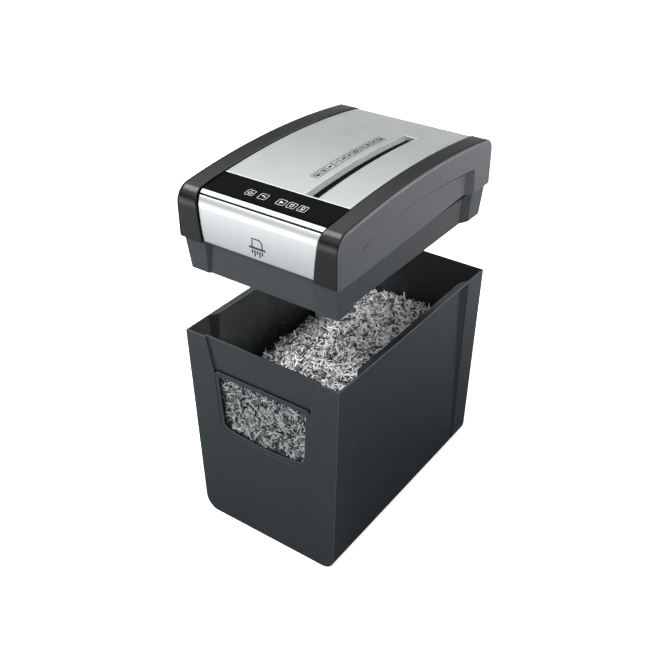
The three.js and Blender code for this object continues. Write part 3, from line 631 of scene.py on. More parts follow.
class Finishes:
    """Every finish on the shredder, made once."""

    def __init__(self) -> None:
        """Builds the materials."""
        # Charcoal ABS from a polished mould: deep, with soft broad reflections, and corners painted pale as
        # a painted highlight.
        self.bin_abs = MouldedPlastic(
            "charcoal_abs_polished", "#2a2f32", 0.24, grain_depth_mm=0.0006, edge_highlight=0.8
        ).build()
        # Smoked polystyrene, moulded thin and clear: the shreds show through it, a touch greyer.
        self.window = SmokedStyrene("smoked_polystyrene", "#ecedee").build()
        # Uncoated office paper, cut: matt and white, with grey and black print in it; the darkest strips are
        # partly, and the heap's core wholly, painted shade.
        self.paper = OfficePaper("office_paper_cut", "#fbfbf9").build()
        # Dark grey ABS with a fine spark-eroded grain: satin, hides finger marks.
        self.casing_abs = MouldedPlastic(
            "dark_grey_abs_grained", "#34383b", 0.36, grain_depth_mm=0.002, edge_highlight=0.5
        ).build()
        # Mid grey ABS, moulded satin: a paler step between the rails and the lower casing.
        self.cover_abs = MouldedPlastic("grey_abs_satin", "#4e5155", 0.33, grain_depth_mm=0.002).build()
        # Graphite ABS from a well polished mould: nearly black, with one long highlight along the arch.
        self.rail_abs = MouldedPlastic(
            "graphite_abs_semi_gloss", "#0f1112", 0.2, grain_depth_mm=0.0006, specular=0.45
        ).build()
        # Silver lacquer sprayed on ABS: bright and satin, its reflections smeared wide.
        self.silver = SilverLacquer("silver_lacquer_on_abs", "#d6d9da").build()
        # Silver-grey ABS, coloured right through: flat and dull beside the lacquer, and darker, partly
        # painted shade for the walls inside the slot.
        self.shaded_silver_abs = MouldedPlastic(
            "silver_grey_abs", "#b4b8b9", 0.5, specular=0.3, edge_highlight=0.1
        ).build()
        # Black acrylic, polished: a deep black under a thin clean reflection.
        self.acrylic = PolishedAcrylic("black_acrylic_polished", "#020303").build()
        # Glass-filled black nylon, moulded dull: it swallows the light in gears, and makes the black strips
        # in the joints, which are painted shade.
        self.black_nylon = MouldedPlastic(
            "black_glass_nylon", "#050506", 0.75, specular=0.08, edge_highlight=0.1
        ).build()
        # Natural acetal, moulded: a waxy off-white.
        self.acetal = MouldedPlastic("natural_acetal", "#ddd8c8", 0.42, grain_depth_mm=0.006).build()
        # Zinc-plated steel sheet, rolled: pale grey, with lines along the roll.
        self.zinc_steel = BareMetal("zinc_plated_steel_rolled", "#b9bcbd", 0.34, MetalWork.ROLLED).build()
        # Hardened steel, turned and ground: darker and crisper, with rings round the shafts.
        self.ground_steel = BareMetal("hardened_steel_ground", "#9b9ea0", 0.26, MetalWork.TURNED).build()
        # Steel pressed into a can: dark grey and softly mottled.
        self.motor_can = BareMetal("motor_can_pressed_steel", "#6f7274", 0.38, MetalWork.PRESSED).build()
        # Bronze powder, pressed and sintered: a dull brown gold.
        self.bronze = BareMetal("sintered_bronze", "#a77b48", 0.45, MetalWork.PRESSED).build()
        # Glass-epoxy board under solder mask: green and glossy, with paler tracks.
        self.board = GlassEpoxyBoard("glass_epoxy_board", "#17482a").build()
        # Pad-printed inks: matt films that stand out from the gloss under them.
        self.white_ink = PadPrint("white_pad_print", "#eceeee").build()
        self.black_ink = PadPrint("black_pad_print", "#101213").build()

    def for_slot(self, slot: Slot) -> bpy.types.Material:
        """The finish of one of the record's material slots.

        Args:
            slot: the slot.

        Returns:
            The material.
        """
        return {
            Slot.BIN_PLASTIC: self.bin_abs,
            Slot.SMOKED_WINDOW: self.window,
            Slot.SHREDDED_PAPER: self.paper,
            Slot.CASING_PLASTIC: self.casing_abs,
            Slot.COVER_PLASTIC: self.cover_abs,
            Slot.RAIL_PLASTIC: self.rail_abs,
            Slot.SILVER_PANEL: self.silver,
            Slot.GLOSS_BLACK: self.acrylic,
            Slot.LIGHT_LENS: self.acrylic,
            Slot.BLACK_NYLON: self.black_nylon,
            Slot.NATURAL_NYLON: self.acetal,
            Slot.STEEL: self.zinc_steel,
            Slot.HARDENED_STEEL: self.ground_steel,
            Slot.MOTOR_CAN: self.motor_can,
            Slot.SINTERED_BRONZE: self.bronze,
            Slot.BOARD: self.board,
        }[slot]


# ---------------------------------------------------------------- moulded shells


@dataclass(frozen=True)
class EdgeRound:
    """The round on some edges of a moulding: which edges, how wide, and in how many facets."""

    picks: Callable[[Vector, Vector], bool]
    width: float
    segments: int = 3


def anywhere(_a: Vector, _b: Vector) -> bool:
    """Picks every edge."""
    return True


def rounded_copy(
    node: str,
    material: bpy.types.Material,
    body: Body,
    rounds: Sequence[EdgeRound],
    turn: Point2 = (24, 100),
    shortest: float = 2.5 * MM,
) -> bpy.types.Object:
    """Makes a moulding from a frame node, with its plain corners rounded as a mould leaves them.

    Args:
        node: the frame node that the piece stands for.
        material: its finish.
        body: the body that carries it.
        rounds: which edges get which round.
        turn: only edges that turn by an angle between these, in degrees, are rounded.
        shortest: shorter edges are left as they are.

    Returns:
        The piece.
    """
    solid = bmesh.new()
    solid.from_mesh(frame["nodes"][node].data)
    bmesh.ops.remove_doubles(solid, verts=solid.verts, dist=WELD)
    limit = math.radians(FLAT_DEG)
    bmesh.ops.dissolve_limit(solid, angle_limit=limit, verts=solid.verts, edges=solid.edges)
    for rule in rounds:
        picked = [
            edge
            for edge in solid.edges
            if len(edge.link_faces) == 2
            and turn[0] < math.degrees(edge.calc_face_angle(0.0)) < turn[1]
            and edge.calc_length() > shortest
            and rule.picks(edge.verts[0].co, edge.verts[1].co)
        ]
        if picked:
            bmesh.ops.bevel(
                solid, geom=picked, offset=rule.width, segments=rule.segments, affect="EDGES",
                profile=0.5, clamp_overlap=False, loop_slide=True,
            )
    mesh = bpy.data.meshes.new(f"{node}_moulding")
    solid.to_mesh(mesh)
    solid.free()
    finish_shading(mesh, sharp_deg=32)
    piece = new_piece(f"{node}_moulding", mesh, material, body, node)
    weigh = piece.modifiers.new("face_normals", "WEIGHTED_NORMAL")
    weigh.keep_sharp = True
    return piece


@dataclass(frozen=True)
class Corner:
    """A rounded corner of the casing's side view: its centre, its radius and where it meets the crown."""

    y: float
    z: float
    radius: float
    angle: float


@dataclass
class CasingPath:
    """Side view of the casing: up the front, round the corner, over the crown and down the back."""

    front_inset: float
    top_inset: float
    half_depth: float = 184 * MM
    crown: float = 79 * MM
    crown_radius: float = 1253 * MM
    front_radius: float = 24 * MM
    rear_radius: float = 18 * MM
    foot: float = 455 * MM
    bulge: float = 0.0

    def __post_init__(self) -> None:
        """Works out the arcs, and how far along the path each stretch ends."""
        self.centre = self.crown - self.crown_radius
        self.radius = self.crown_radius - self.top_inset
        self.front = self._corner(-1, self.front_inset, self.front_radius)
        self.rear = self._corner(1, self.top_inset, self.rear_radius)
        self.ends = list(accumulate((
            self.front.z,
            self.front.radius * (math.pi - self.front.angle),
            self.radius * (self.front.angle - self.rear.angle),
            self.rear.radius * self.rear.angle,
            self.rear.z,
        )))

    def _corner(self, side: int, inset: float, round_radius: float) -> Corner:
        """Sets out one corner.

        Args:
            side: -1 for the front, 1 for the rear.
            inset: how far the wall is moved in.
            round_radius: the corner's radius on the rails.

        Returns:
            The corner.
        """
        radius = round_radius - (inset + self.top_inset) / 2
        y = side * (self.half_depth - inset - radius)
        rise = math.sqrt((self.radius - radius) ** 2 - y * y)
        return Corner(y, self.centre + rise, radius, math.atan2(rise, y))

    @property
    def length(self) -> float:
        """The path's whole length, foot to foot."""
        return self.ends[-1]

    def station(self, s: float) -> tuple[float, float, float, float]:
        """A point on the path and its outward normal.

        Args:
            s: distance from the front foot.

        Returns:
            y, z, and the normal's y and z.
        """
        wall, corner, crown, back, _ = self.ends
        if s <= wall:
            share = 2 * s / wall - 1
            swell = self.bulge * (1 - share**2)
            slope = 4 * self.bulge * share / wall
            size = math.hypot(1.0, slope)
            return -self.half_depth + self.front_inset - swell, self.foot + s, -1.0 / size, slope / size
        if s > back:
            return self.half_depth - self.top_inset, self.foot + self.rear.z - (s - back), 1.0, 0.0
        if s <= corner:
            angle = math.pi - (s - wall) / self.front.radius
            y, z, r = self.front.y, self.front.z, self.front.radius
        elif s <= crown:
            angle = self.front.angle - (s - corner) / self.radius
            y, z, r = 0.0, self.centre, self.radius
        else:
            angle = self.rear.angle - (s - crown) / self.rear.radius
            y, z, r = self.rear.y, self.rear.z, self.rear.radius
        cos, sin = math.cos(angle), math.sin(angle)
        return y + r * cos, self.foot + z + r * sin, cos, sin

    def distance(self, y: float) -> float:
        """Finds a depth on the front corner or the crown.

        Args:
            y: the depth.

        Returns:
            Its distance along the path.
        """
        wall, corner = self.ends[:2]
        front = self.front
        if y < front.y + front.radius * math.cos(front.angle):
            return wall + front.radius * (math.pi - math.acos((y - front.y) / front.radius))
        return corner + self.radius * (front.angle - math.acos(y / self.radius))

    def surface(self, y: float) -> float:
        """Height of the surface at a depth y on the crown."""
        return self.foot + self.centre + math.sqrt(self.radius**2 - y * y)


@dataclass(frozen=True)
class Opening:
    """A rectangular hole in a plate: across in x, along the path in s."""

    x0: float
    x1: float
    s0: float
    s1: float
    round: float = 0.5 * MM
    right_round: float = 0.5 * MM


@dataclass
class CasingPlate:
    """A sheet moulded over the casing's path, with rounded edges and clean openings."""

    path: CasingPath
    x0: Callable[[float], float]
    x1: Callable[[float], float]
    s0: float
    s1: float
    thickness: float = 2.5 * MM
    left_round: float = 0.6 * MM
    right_round: float = 0.6 * MM
    end_round: float = 0.6 * MM
    step: float = 3.5 * MM
    # Where the lines over a rounded edge lie, in shares of its radius.
    round_shares: Sequence[float] = (0.0, 0.08, 0.3, 0.62, 1.0)
    closest: float = 0.02 * MM
    openings: Sequence[Opening] = ()

    def _lines(self, low: float, high: float, radii: Point2, extra: Iterable[Point2]) -> list[float]:
        """Grid lines between two edges, close together where an edge is rounded.

        Args:
            low: first line.
            high: last line.
            radii: the rounds at the first and last line.
            extra: places of opening edges, each with its round, signed towards the plate.

        Returns:
            The lines in order.
        """
        shares = self.round_shares
        lines = [low + radii[0] * k for k in shares] + [high - radii[1] * k for k in shares]
        for place, reach in extra:
            lines += [place + reach * k for k in shares]
        count = max(1, math.ceil((high - low) / self.step))
        lines += [low + (high - low) * i / count for i in range(1, count)]
        lines.sort()
        kept = [lines[0]]
        for line in lines[1:]:
            if line - kept[-1] > self.closest:
                kept.append(line)
        kept[-1] = high
        return kept

    @staticmethod
    def _drop(distance: float, radius: float) -> float:
        """How far the surface falls near one rounded edge.

        Args:
            distance: distance from the edge.
            radius: the edge's round.

        Returns:
            The fall.
        """
        if distance >= radius:
            return 0.0
        return radius - math.sqrt(max(0.0, radius**2 - (radius - distance) ** 2))

    def build(self, name: str) -> bpy.types.Mesh:
        """Makes the plate's closed mesh.

        Args:
            name: the mesh's name.

        Returns:
            The mesh.
        """
        widest = max(self.x1(self.s0), self.x1(self.s1))
        narrow = min(self.x0(self.s0), self.x0(self.s1))
        across_extra, along_extra = [], []
        for hole in self.openings:
            across_extra += [(hole.x0, -hole.round), (hole.x1, hole.right_round)]
            along_extra += [(hole.s0, -hole.round), (hole.s1, hole.round)]
        across = self._lines(narrow, widest, (self.left_round, self.right_round), across_extra)
        along = self._lines(self.s0, self.s1, (self.end_round, self.end_round), along_extra)
        points, index = [], {}
        for j, s in enumerate(along):
            y, z, ny, nz = self.path.station(s)
            x0, x1 = self.x0(s), self.x1(s)
            for i, u in enumerate(across):
                x = x0 + (u - narrow) * (x1 - x0) / (widest - narrow)
                for level, depth in enumerate((self._fall(u, s, narrow, widest), self.thickness)):
                    index[i, j, level] = len(points)
                    points.append((x, y - depth * ny, z - depth * nz))
        faces = self._faces(across, along, index)
        used = sorted({v for face in faces for v in face})
        renumber = {v: n for n, v in enumerate(used)}
        kept_points = [points[v] for v in used]
        kept_faces = [[renumber[v] for v in face] for face in faces]
        return smooth_mesh(name, kept_points, kept_faces, sharp_deg=50)

    def _fall(self, u: float, s: float, narrow: float, widest: float) -> float:
        """How far the outer surface falls at a place, by the rounds of all the edges near it.

        Args:
            u: the place across the plate.
            s: the place along the path.
            narrow: the plate's left edge.
            widest: the plate's right edge.

        Returns:
            The fall.
        """
        falls = [
            self._drop(u - narrow, self.left_round),
            self._drop(widest - u, self.right_round),
            self._drop(s - self.s0, self.end_round),
            self._drop(self.s1 - s, self.end_round),
        ]
        for hole in self.openings:
            gap = max(hole.x0 - u, u - hole.x1, hole.s0 - s, s - hole.s1, 0.0)
            falls.append(self._drop(gap, hole.right_round if u > hole.x1 else hole.round))
        return max(falls)

    def _faces(
        self, across: Sequence[float], along: Sequence[float], index: dict[tuple[int, int, int], int]
    ) -> list[list[int]]:
        """The faces of both sides, and of the walls between them where the plate ends.

        Args:
            across: the grid lines across the plate.
            along: the grid lines along the path.
            index: the number of each grid point, by its two lines and its side.

        Returns:
            The faces, as lists of point numbers.
        """
        cells = [
            (i, j)
            for j in range(len(along) - 1)
            for i in range(len(across) - 1)
            if not self._is_open((across[i] + across[i + 1]) / 2, (along[j] + along[j + 1]) / 2)
        ]
        solid = set(cells)
        faces = []
        for i, j in cells:
            corners = [(i, j), (i + 1, j), (i + 1, j + 1), (i, j + 1)]
            faces.append([index[a, b, 0] for a, b in corners])
            faces.append([index[a, b, 1] for a, b in reversed(corners)])
            for k, (di, dj) in enumerate(((0, -1), (1, 0), (0, 1), (-1, 0))):
                if (i + di, j + dj) not in solid:
                    (a, b), (c, d) = corners[k], corners[(k + 1) % 4]
                    faces.append([index[c, d, 0], index[a, b, 0], index[a, b, 1], index[c, d, 1]])
        return faces

    def _is_open(self, u: float, s: float) -> bool:
        """Whether a place lies in one of the openings."""
        return any(h.x0 < u < h.x1 and h.s0 < s < h.s1 for h in self.openings)


# ---------------------------------------------------------------- printed symbols


# A place that a symbol is printed on: it turns (u, v, height) into the frame's coordinates.
Plane = Callable[[float, float, float], Point3]


@dataclass(frozen=True)
class CrownPlane:
    """A spot on the crown, u to the right and v to the back."""

    path: CasingPath
    x: float
    y: float

    def __call__(self, u: float, v: float, h: float) -> Point3:
        """Maps a point on the symbol to the crown."""
        y = self.y + v
        return self.x + u, y, self.path.surface(y) + h


@dataclass(frozen=True)
class FrontPlane:
    """A spot on the fascia, u to the right and v up."""

    path: CasingPath
    x: float
    z: float

    def __call__(self, u: float, v: float, h: float) -> Point3:
        """Maps a point on the symbol to the fascia."""
        y, z, ny, nz = self.path.station(self.z + v)
        return self.x + u, y + h * ny, z + h * nz


@dataclass
class Symbol:
    """A printed symbol made of strokes and filled areas, in units of half its own size."""

    size: float
    film: float = 0.12 * MM
    sink: float = 0.05 * MM
    strokes: list[tuple[list[Point2], bool, float]] = field(default_factory=list)
    fills: list[list[Point2]] = field(default_factory=list)

    def line(self, points: list[Point2], width: float = 0.13, closed: bool = False) -> Symbol:
        """Adds a stroke through points, and returns the symbol."""
        self.strokes.append((points, closed, width))
        return self

    def area(self, points: list[Point2]) -> Symbol:
        """Adds a filled area, and returns the symbol."""
        self.fills.append(points)
        return self

    def frame(self, corner: float = 0.2, width: float = 0.12) -> Symbol:
        """Adds the rounded square round the symbol.

        Args:
            corner: its corners' radius.
            width: its line width.

        Returns:
            The symbol.
        """
        edge = 1 - width / 2
        points = []
        for cx, cy, start in ((1, 1, 0), (-1, 1, 90), (-1, -1, 180), (1, -1, 270)):
            points += arc_points(cx * (edge - corner), cy * (edge - corner), corner, start, start + 90, 5)
        return self.line(points, width, True)

    def build(self, name: str, plane: Plane) -> bpy.types.Mesh:
        """Makes the print as a thin closed film on a surface.

        Args:
            name: the mesh's name.
            plane: the surface that it lies on.

        Returns:
            The mesh.
        """
        points, faces = [], []
        half = self.size / 2

        def put(loop: list[Point2], level: float) -> list[int]:
            """Places a loop of points.

            Args:
                loop: the points on the symbol.
                level: their height over the surface.

            Returns:
                Their numbers.
            """
            start = len(points)
            points.extend(plane(u * half, v * half, level) for u, v in loop)
            return list(range(start, len(points)))

        for outline in self.fills:
            top = put(outline, self.film)
            foot = put(outline, -self.sink)
            faces.append(top)
            faces.append(foot[::-1])
            faces += [[top[k - 1], foot[k - 1], foot[k], top[k]] for k in range(len(outline))]
        for path, closed, width in self.strokes:
            left, right = offset_line(path, closed, width / 2)
            corners = ((left, self.film), (right, self.film), (right, -self.sink), (left, -self.sink))
            rings = [put(side, level) for side, level in corners]
            count = len(path)
            for k in range(count if closed else count - 1):
                n = (k + 1) % count
                for a, b in ((0, 1), (1, 2), (2, 3), (3, 0)):
                    faces.append([rings[a][k], rings[b][k], rings[b][n], rings[a][n]])
            if not closed:
                faces.append([ring[0] for ring in rings][::-1])
                faces.append([ring[-1] for ring in rings])
        return smooth_mesh(name, points, faces, sharp_deg=30)


def arc_points(cx: float, cy: float, radius: float, start: float, end: float, steps: int) -> list[Point2]:
    """Points on an arc whose start and end are angles in degrees."""
    angles = (math.radians(start + (end - start) * i / steps) for i in range(steps + 1))
    return [(cx + radius * math.cos(a), cy + radius * math.sin(a)) for a in angles]


def offset_line(path: list[Point2], closed: bool, half: float) -> tuple[list[Point2], list[Point2]]:
    """The two sides of a stroke.

    Args:
        path: the stroke's middle line.
        closed: whether it joins its own start.
        half: half its width.

    Returns:
        Its left and right sides.
    """
    left, right = [], []
    count = len(path)
    for k, (x, y) in enumerate(path):
        before = path[k - 1] if k or closed else path[k]
        after = path[(k + 1) % count] if k + 1 < count or closed else path[k]
        dx, dy = after[0] - before[0], after[1] - before[1]
        size = math.hypot(dx, dy) or 1.0
        nx, ny = -dy / size, dx / size
        left.append((x + nx * half, y + ny * half))
        right.append((x - nx * half, y - ny * half))
    return left, right


def box_points(x0: float, y0: float, x1: float, y1: float) -> list[Point2]:
    """The corners of an upright box."""
    return [(x0, y0), (x1, y0), (x1, y1), (x0, y1)]


class Mark(Enum):
    """The generic symbols on the keys, the lights and beside the slot."""

    POWER = "power"
    RETURN = "return"
    READY = "ready"
    BIN = "bin"
    JAM = "jam"
    SHEET = "sheet"
    SHEETS = "sheets"
    CARD = "card"
    DISC = "disc"
    CLIP = "clip"
    CROSS = "cross"
    DROP = "drop"
    BOLT = "bolt"


def draw(mark: Mark, size: float, outline: float, thin: float) -> Symbol:
    """Draws one of the symbols in its rounded frame.

    Args:
        mark: which symbol.
        size: its outer size.
        outline: the frame's line width, in halves of the size.
        thin: the symbol's line width, in halves of the size.

    Returns:
        The symbol.
    """
    symbol = Symbol(size).frame(width=outline)
    if mark is Mark.POWER:
        symbol.line(arc_points(0, -0.06, 0.46, 130, 410, 18), thin)
        symbol.line([(0, 0.02), (0, 0.56)], thin)
    elif mark is Mark.RETURN:
        hook = arc_points(0.2, 0.02, 0.22, 0, 90, 5)
        symbol.line([(0.42, -0.4), (0.42, 0.02)] + hook + [(-0.2, 0.24)], thin)
        symbol.area([(-0.56, 0.24), (-0.14, -0.02), (-0.14, 0.5)])
    elif mark is Mark.READY:
        symbol.area([(-0.34, -0.46), (0.52, 0.0), (-0.34, 0.46)])
    elif mark is Mark.BIN:
        symbol.line([(-0.34, 0.26), (-0.22, -0.5), (0.22, -0.5), (0.34, 0.26)], thin)
        symbol.line([(-0.46, 0.4), (0.46, 0.4)], thin)
    elif mark is Mark.JAM:
        symbol.line(box_points(-0.3, -0.02, 0.3, 0.56), thin, True)
        for x in (-0.28, 0.0, 0.28):
            symbol.line([(x, -0.2), (x, -0.56)], thin)
    elif mark is Mark.SHEET:
        symbol.line(box_points(-0.32, -0.5, 0.32, 0.5), thin, True)
    elif mark is Mark.SHEETS:
        symbol.line(box_points(-0.42, -0.5, 0.14, 0.3), thin, True)
        symbol.line([(-0.16, 0.5), (0.42, 0.5), (0.42, -0.3)], thin)
    elif mark is Mark.CARD:
        symbol.line(box_points(-0.5, -0.34, 0.5, 0.34), thin, True)
        symbol.area(box_points(-0.5, 0.06, 0.5, 0.22))
    elif mark is Mark.DISC:
        symbol.line(arc_points(0, 0, 0.48, 0, 345, 20), thin, True)
        symbol.line(arc_points(0, 0, 0.14, 0, 315, 8), 0.1, True)
    elif mark is Mark.CLIP:
        bow = arc_points(0, 0.3, 0.2, 180, 0, 6)
        symbol.line([(-0.2, -0.3), (-0.2, 0.3)] + bow + [(0.2, -0.4)], thin)
    elif mark is Mark.CROSS:
        symbol.line([(-0.44, -0.44), (0.44, 0.44)], thin)
        symbol.line([(-0.44, 0.44), (0.44, -0.44)], thin)
    elif mark is Mark.DROP:
        symbol.area(arc_points(0, -0.14, 0.34, -215, 35, 14) + [(0, 0.56)])
    elif mark is Mark.BOLT:
        symbol.area([(0.12, 0.56), (-0.34, -0.06), (-0.02, -0.06)])
        symbol.area([(-0.12, -0.56), (0.34, 0.06), (0.02, 0.06)])
    return symbol


# ---------------------------------------------------------------- bin and shreds


@dataclass
class WasteBin:
    """The deep bin: a one-piece moulding with sunk side panels and a smoked window."""

    finishes: Finishes
    corner_round: float = 1.6 * MM
    small_round: float = 0.7 * MM
    pane_round: float = 0.6 * MM
    # Edges farther out than these, in x or from the ends in y, lie on the bin's outside, and only
    # longer ones get a round.
    corner_half: float = 110 * MM
    corner_end: float = 0.5 * MM
    corner_length: float = 200 * MM
    outside_half: float = 112 * MM
    outside_end: float = 5 * MM
    outside_length: float = 12 * MM
    window_half: float = 80 * MM
    window_top: float = 266 * MM
    window_low_half: float = 76 * MM
    window_low: float = 182 * MM
    window_foot_half: float = 62 * MM
    window_foot: float = 165 * MM
    window_belly: float = 160 * MM
    window_round: float = 7 * MM
    window_bend: Point2 = (-1 * MM, 2 * MM)
    window_foot_slope: float = 0.8
    border_inset: float = 0.7 * MM
    border_width: float = 6.4 * MM
    border_height: float = 0.7 * MM
    border_ease: float = 0.5 * MM
    border_sink: float = 0.2 * MM

    def build(self) -> list[bpy.types.Object]:
        """Makes the shell and the window.

        Returns:
            The pieces.
        """
        return [self._shell(), self._window(), self._window_border()]

    def _shell(self) -> bpy.types.Object:
        """The moulding, with larger rounds on its four corners.

        Returns:
            The piece.
        """
        half_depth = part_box("bin_shell")[1].y

        def on_corner(a: Vector, b: Vector) -> bool:
            """Picks the four upright corners.

            Args:
                a: one end of an edge.
                b: its other end.

            Returns:
                Whether the edge is one of them.
            """
            upright = abs(a.z - b.z) > self.corner_length
            at_end = min(abs(a.y), abs(b.y)) > half_depth - self.corner_end
            return upright and at_end and min(abs(a.x), abs(b.x)) > self.corner_half

        def on_outside(a: Vector, b: Vector) -> bool:
            """Picks the long edges on the outside and the rim.

            Args:
                a: one end of an edge.
                b: its other end.

            Returns:
                Whether the edge is one of them.
            """
            at_end = max(abs(a.y), abs(b.y)) >= half_depth - self.outside_end
            at_side = max(abs(a.x), abs(b.x)) >= self.outside_half
            return (a - b).length > self.outside_length and (at_end or at_side)

        rounds = [EdgeRound(on_corner, self.corner_round, 4), EdgeRound(on_outside, self.small_round, 2)]
        return rounded_copy("bin_shell", self.finishes.bin_abs, Body.BIN, rounds)

    def _window(self) -> bpy.types.Object:
        """The smoked pane in the front recess."""
        rounds = [EdgeRound(anywhere, self.pane_round)]
        return rounded_copy("window_insert", self.finishes.window, Body.BIN, rounds)

    def _window_loop(self, inset: float) -> list[Point2]:
        """The window's outline in x and z, with round upper corners.

        Args:
            inset: how far it is moved in from the recess.

        Returns:
            The outline, from the top right clockwise.
        """
        radius = self.window_round
        side, top = self.window_half - inset, self.window_top - inset
        right = arc_points(side - radius, top - radius, radius, 90, 0, 6)
        low = (self.window_low_half - inset, self.window_low)
        foot = (self.window_foot_half - self.window_foot_slope * inset, self.window_foot + inset)
        bend = (low[0] + self.window_bend[0], foot[1] + self.window_bend[1])
        right += quadratic(low, bend, foot, 8)
        belly = (0.0, 2 * self.window_belly - self.window_foot + inset)
        under = quadratic(foot, belly, (-foot[0], foot[1]), 12)[1:-1]
        return right + under + [(-x, z) for x, z in reversed(right)]

    def _window_border(self) -> bpy.types.Object:
        """The raised border on the pane, that hides its glued rim.

        Returns:
            The piece.
        """
        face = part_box("window_insert")[0].y
        near, far = self.border_inset, self.border_inset + self.border_width
        back, front = face + self.border_sink, face - self.border_height
        shoulder = front + self.border_ease
        sections = (
            (near, back),
            (near, shoulder),
            (near + self.border_ease, front),
            (far - self.border_ease, front),
            (far, shoulder),
            (far, back),
        )
        points: list[Point3] = []
        for inset, y in sections:
            points += [(x, y, z) for x, z in self._window_loop(inset)]
        count = len(points) // len(sections)
        faces = []
        for k in range(len(sections)):
            this, following = k * count, (k + 1) % len(sections) * count
            for i in range(count):
                j = (i + 1) % count
                faces.append([this + i, this + j, following + j, following + i])
        mesh = smooth_mesh("window_border", points, faces, sharp_deg=30)
        return new_piece("window_border", mesh, self.finishes.bin_abs, Body.BIN)


def quadratic(start: Point2, bend: Point2, end: Point2, steps: int) -> list[Point2]:
    """Points on a curve that leans towards a third point.

    Args:
        start: its first point.
        bend: the point that it leans towards.
        end: its last point.
        steps: how many steps it takes.

    Returns:
        The points.
    """
    points = []
    for i in range(steps + 1):
        t = i / steps
        x, z = ((1 - t) ** 2 * a + 2 * t * (1 - t) * b + t * t * c for a, b, c in zip(start, bend, end))
        points.append((x, z))
    return points


# Shades of the strips between toner black and paper white: some are white, many carry print, and the darkest
# are partly painted shade for the dark gaps in the heap.
STRIP_SHADES = (1.0, 1.0, 1.0, 0.95, 0.85, 0.7, 0.4, 0.12, 0.03, 0.0)


@dataclass
class StripPile:
    """Loose paper strips, gathered in one growing mesh that stays inside the heap's space."""

    low: Vector
    high: Vector
    length_mm: Point2 = (8, 21)
    width_mm: Point2 = (1.1, 2.4)
    film: float = 0.16 * MM
    bends: int = 3
    roll_deg: float = 30
    bow: float = 0.06
    twist: float = 0.5
    over_top: float = 1.5 * MM
    points: list[Vector] = field(default_factory=list)
    faces: list[list[int]] = field(default_factory=list)
    shades: list[float] = field(default_factory=list)

    def add(self, place: Vector, normal: Vector, tilt_deg: float, front: float) -> None:
        """Adds one bent and twisted strip.

        Args:
            place: the strip's middle.
            normal: the way that its flat side faces.
            tilt_deg: how far it tends to lean from that.
            front: how far forward it may reach.
        """
        spin = random.uniform(0, math.tau)
        side = normal.orthogonal().normalized()
        along = side * math.cos(spin) + normal.cross(side) * math.sin(spin)
        tilt = math.radians(random.gauss(0, tilt_deg))
        along = along * math.cos(tilt) + normal * math.sin(tilt)
        across = normal.cross(along).normalized()
        roll = math.radians(random.gauss(0, self.roll_deg))
        across = across * math.cos(roll) + along.cross(across) * math.sin(roll)
        length = random.uniform(*self.length_mm) * MM
        width = random.uniform(*self.width_mm) * MM
        bow = random.uniform(-self.bow, self.bow) * length
        twist = random.uniform(-self.twist, self.twist)
        shade = random.choice(STRIP_SHADES)
        start = len(self.points)
        for k in range(self.bends + 1):
            t = k / self.bends - 0.5
            turn = twist * t
            edge = across * math.cos(turn) + along.cross(across) * math.sin(turn)
            face = along.cross(edge).normalized() * self.film
            middle = place + along * (length * t) + along.cross(across) * (bow * (1 - 4 * t * t))
            for u, v in ((-0.5, 0.5), (0.5, 0.5), (0.5, -0.5), (-0.5, -0.5)):
                self.points.append(self._kept_in(middle + edge * (width * u) + face * v, front))
                self.shades.append(shade)
        self._close(start)

    def _kept_in(self, point: Vector, front: float) -> Vector:
        """Keeps a point inside the heap's space.

        Args:
            point: the point.
            front: how far forward it may lie.

        Returns:
            The point, moved in where it has to be.
        """
        point.x = min(max(point.x, self.low.x), self.high.x)
        point.y = min(max(point.y, front), self.high.y)
        point.z = min(point.z, self.high.z + self.over_top)
        return point

    def _close(self, start: int) -> None:
        """Adds the sides and the ends of the strip whose first point is given.

        Args:
            start: the number of its first point.
        """
        for k in range(self.bends):
            a = start + 4 * k
            self.faces += [[a + i, a + (i + 1) % 4, a + 4 + (i + 1) % 4, a + 4 + i] for i in range(4)]
        end = start + 4 * self.bends
        self.faces.append([start + 3, start + 2, start + 1, start])
        self.faces.append([end, end + 1, end + 2, end + 3])

    def mesh(self, name: str) -> bpy.types.Mesh:
        """Makes the mesh of all the strips, each point with its strip's shade.

        Args:
            name: the mesh's name.

        Returns:
            The mesh.
        """
        mesh = bpy.data.meshes.new(name)
        mesh.from_pydata([tuple(p) for p in self.points], [], self.faces)
        finish_shading(mesh, sharp_deg=60)
        mesh.attributes.new("shade", "FLOAT", "POINT").data.foreach_set("value", self.shades)
        return mesh


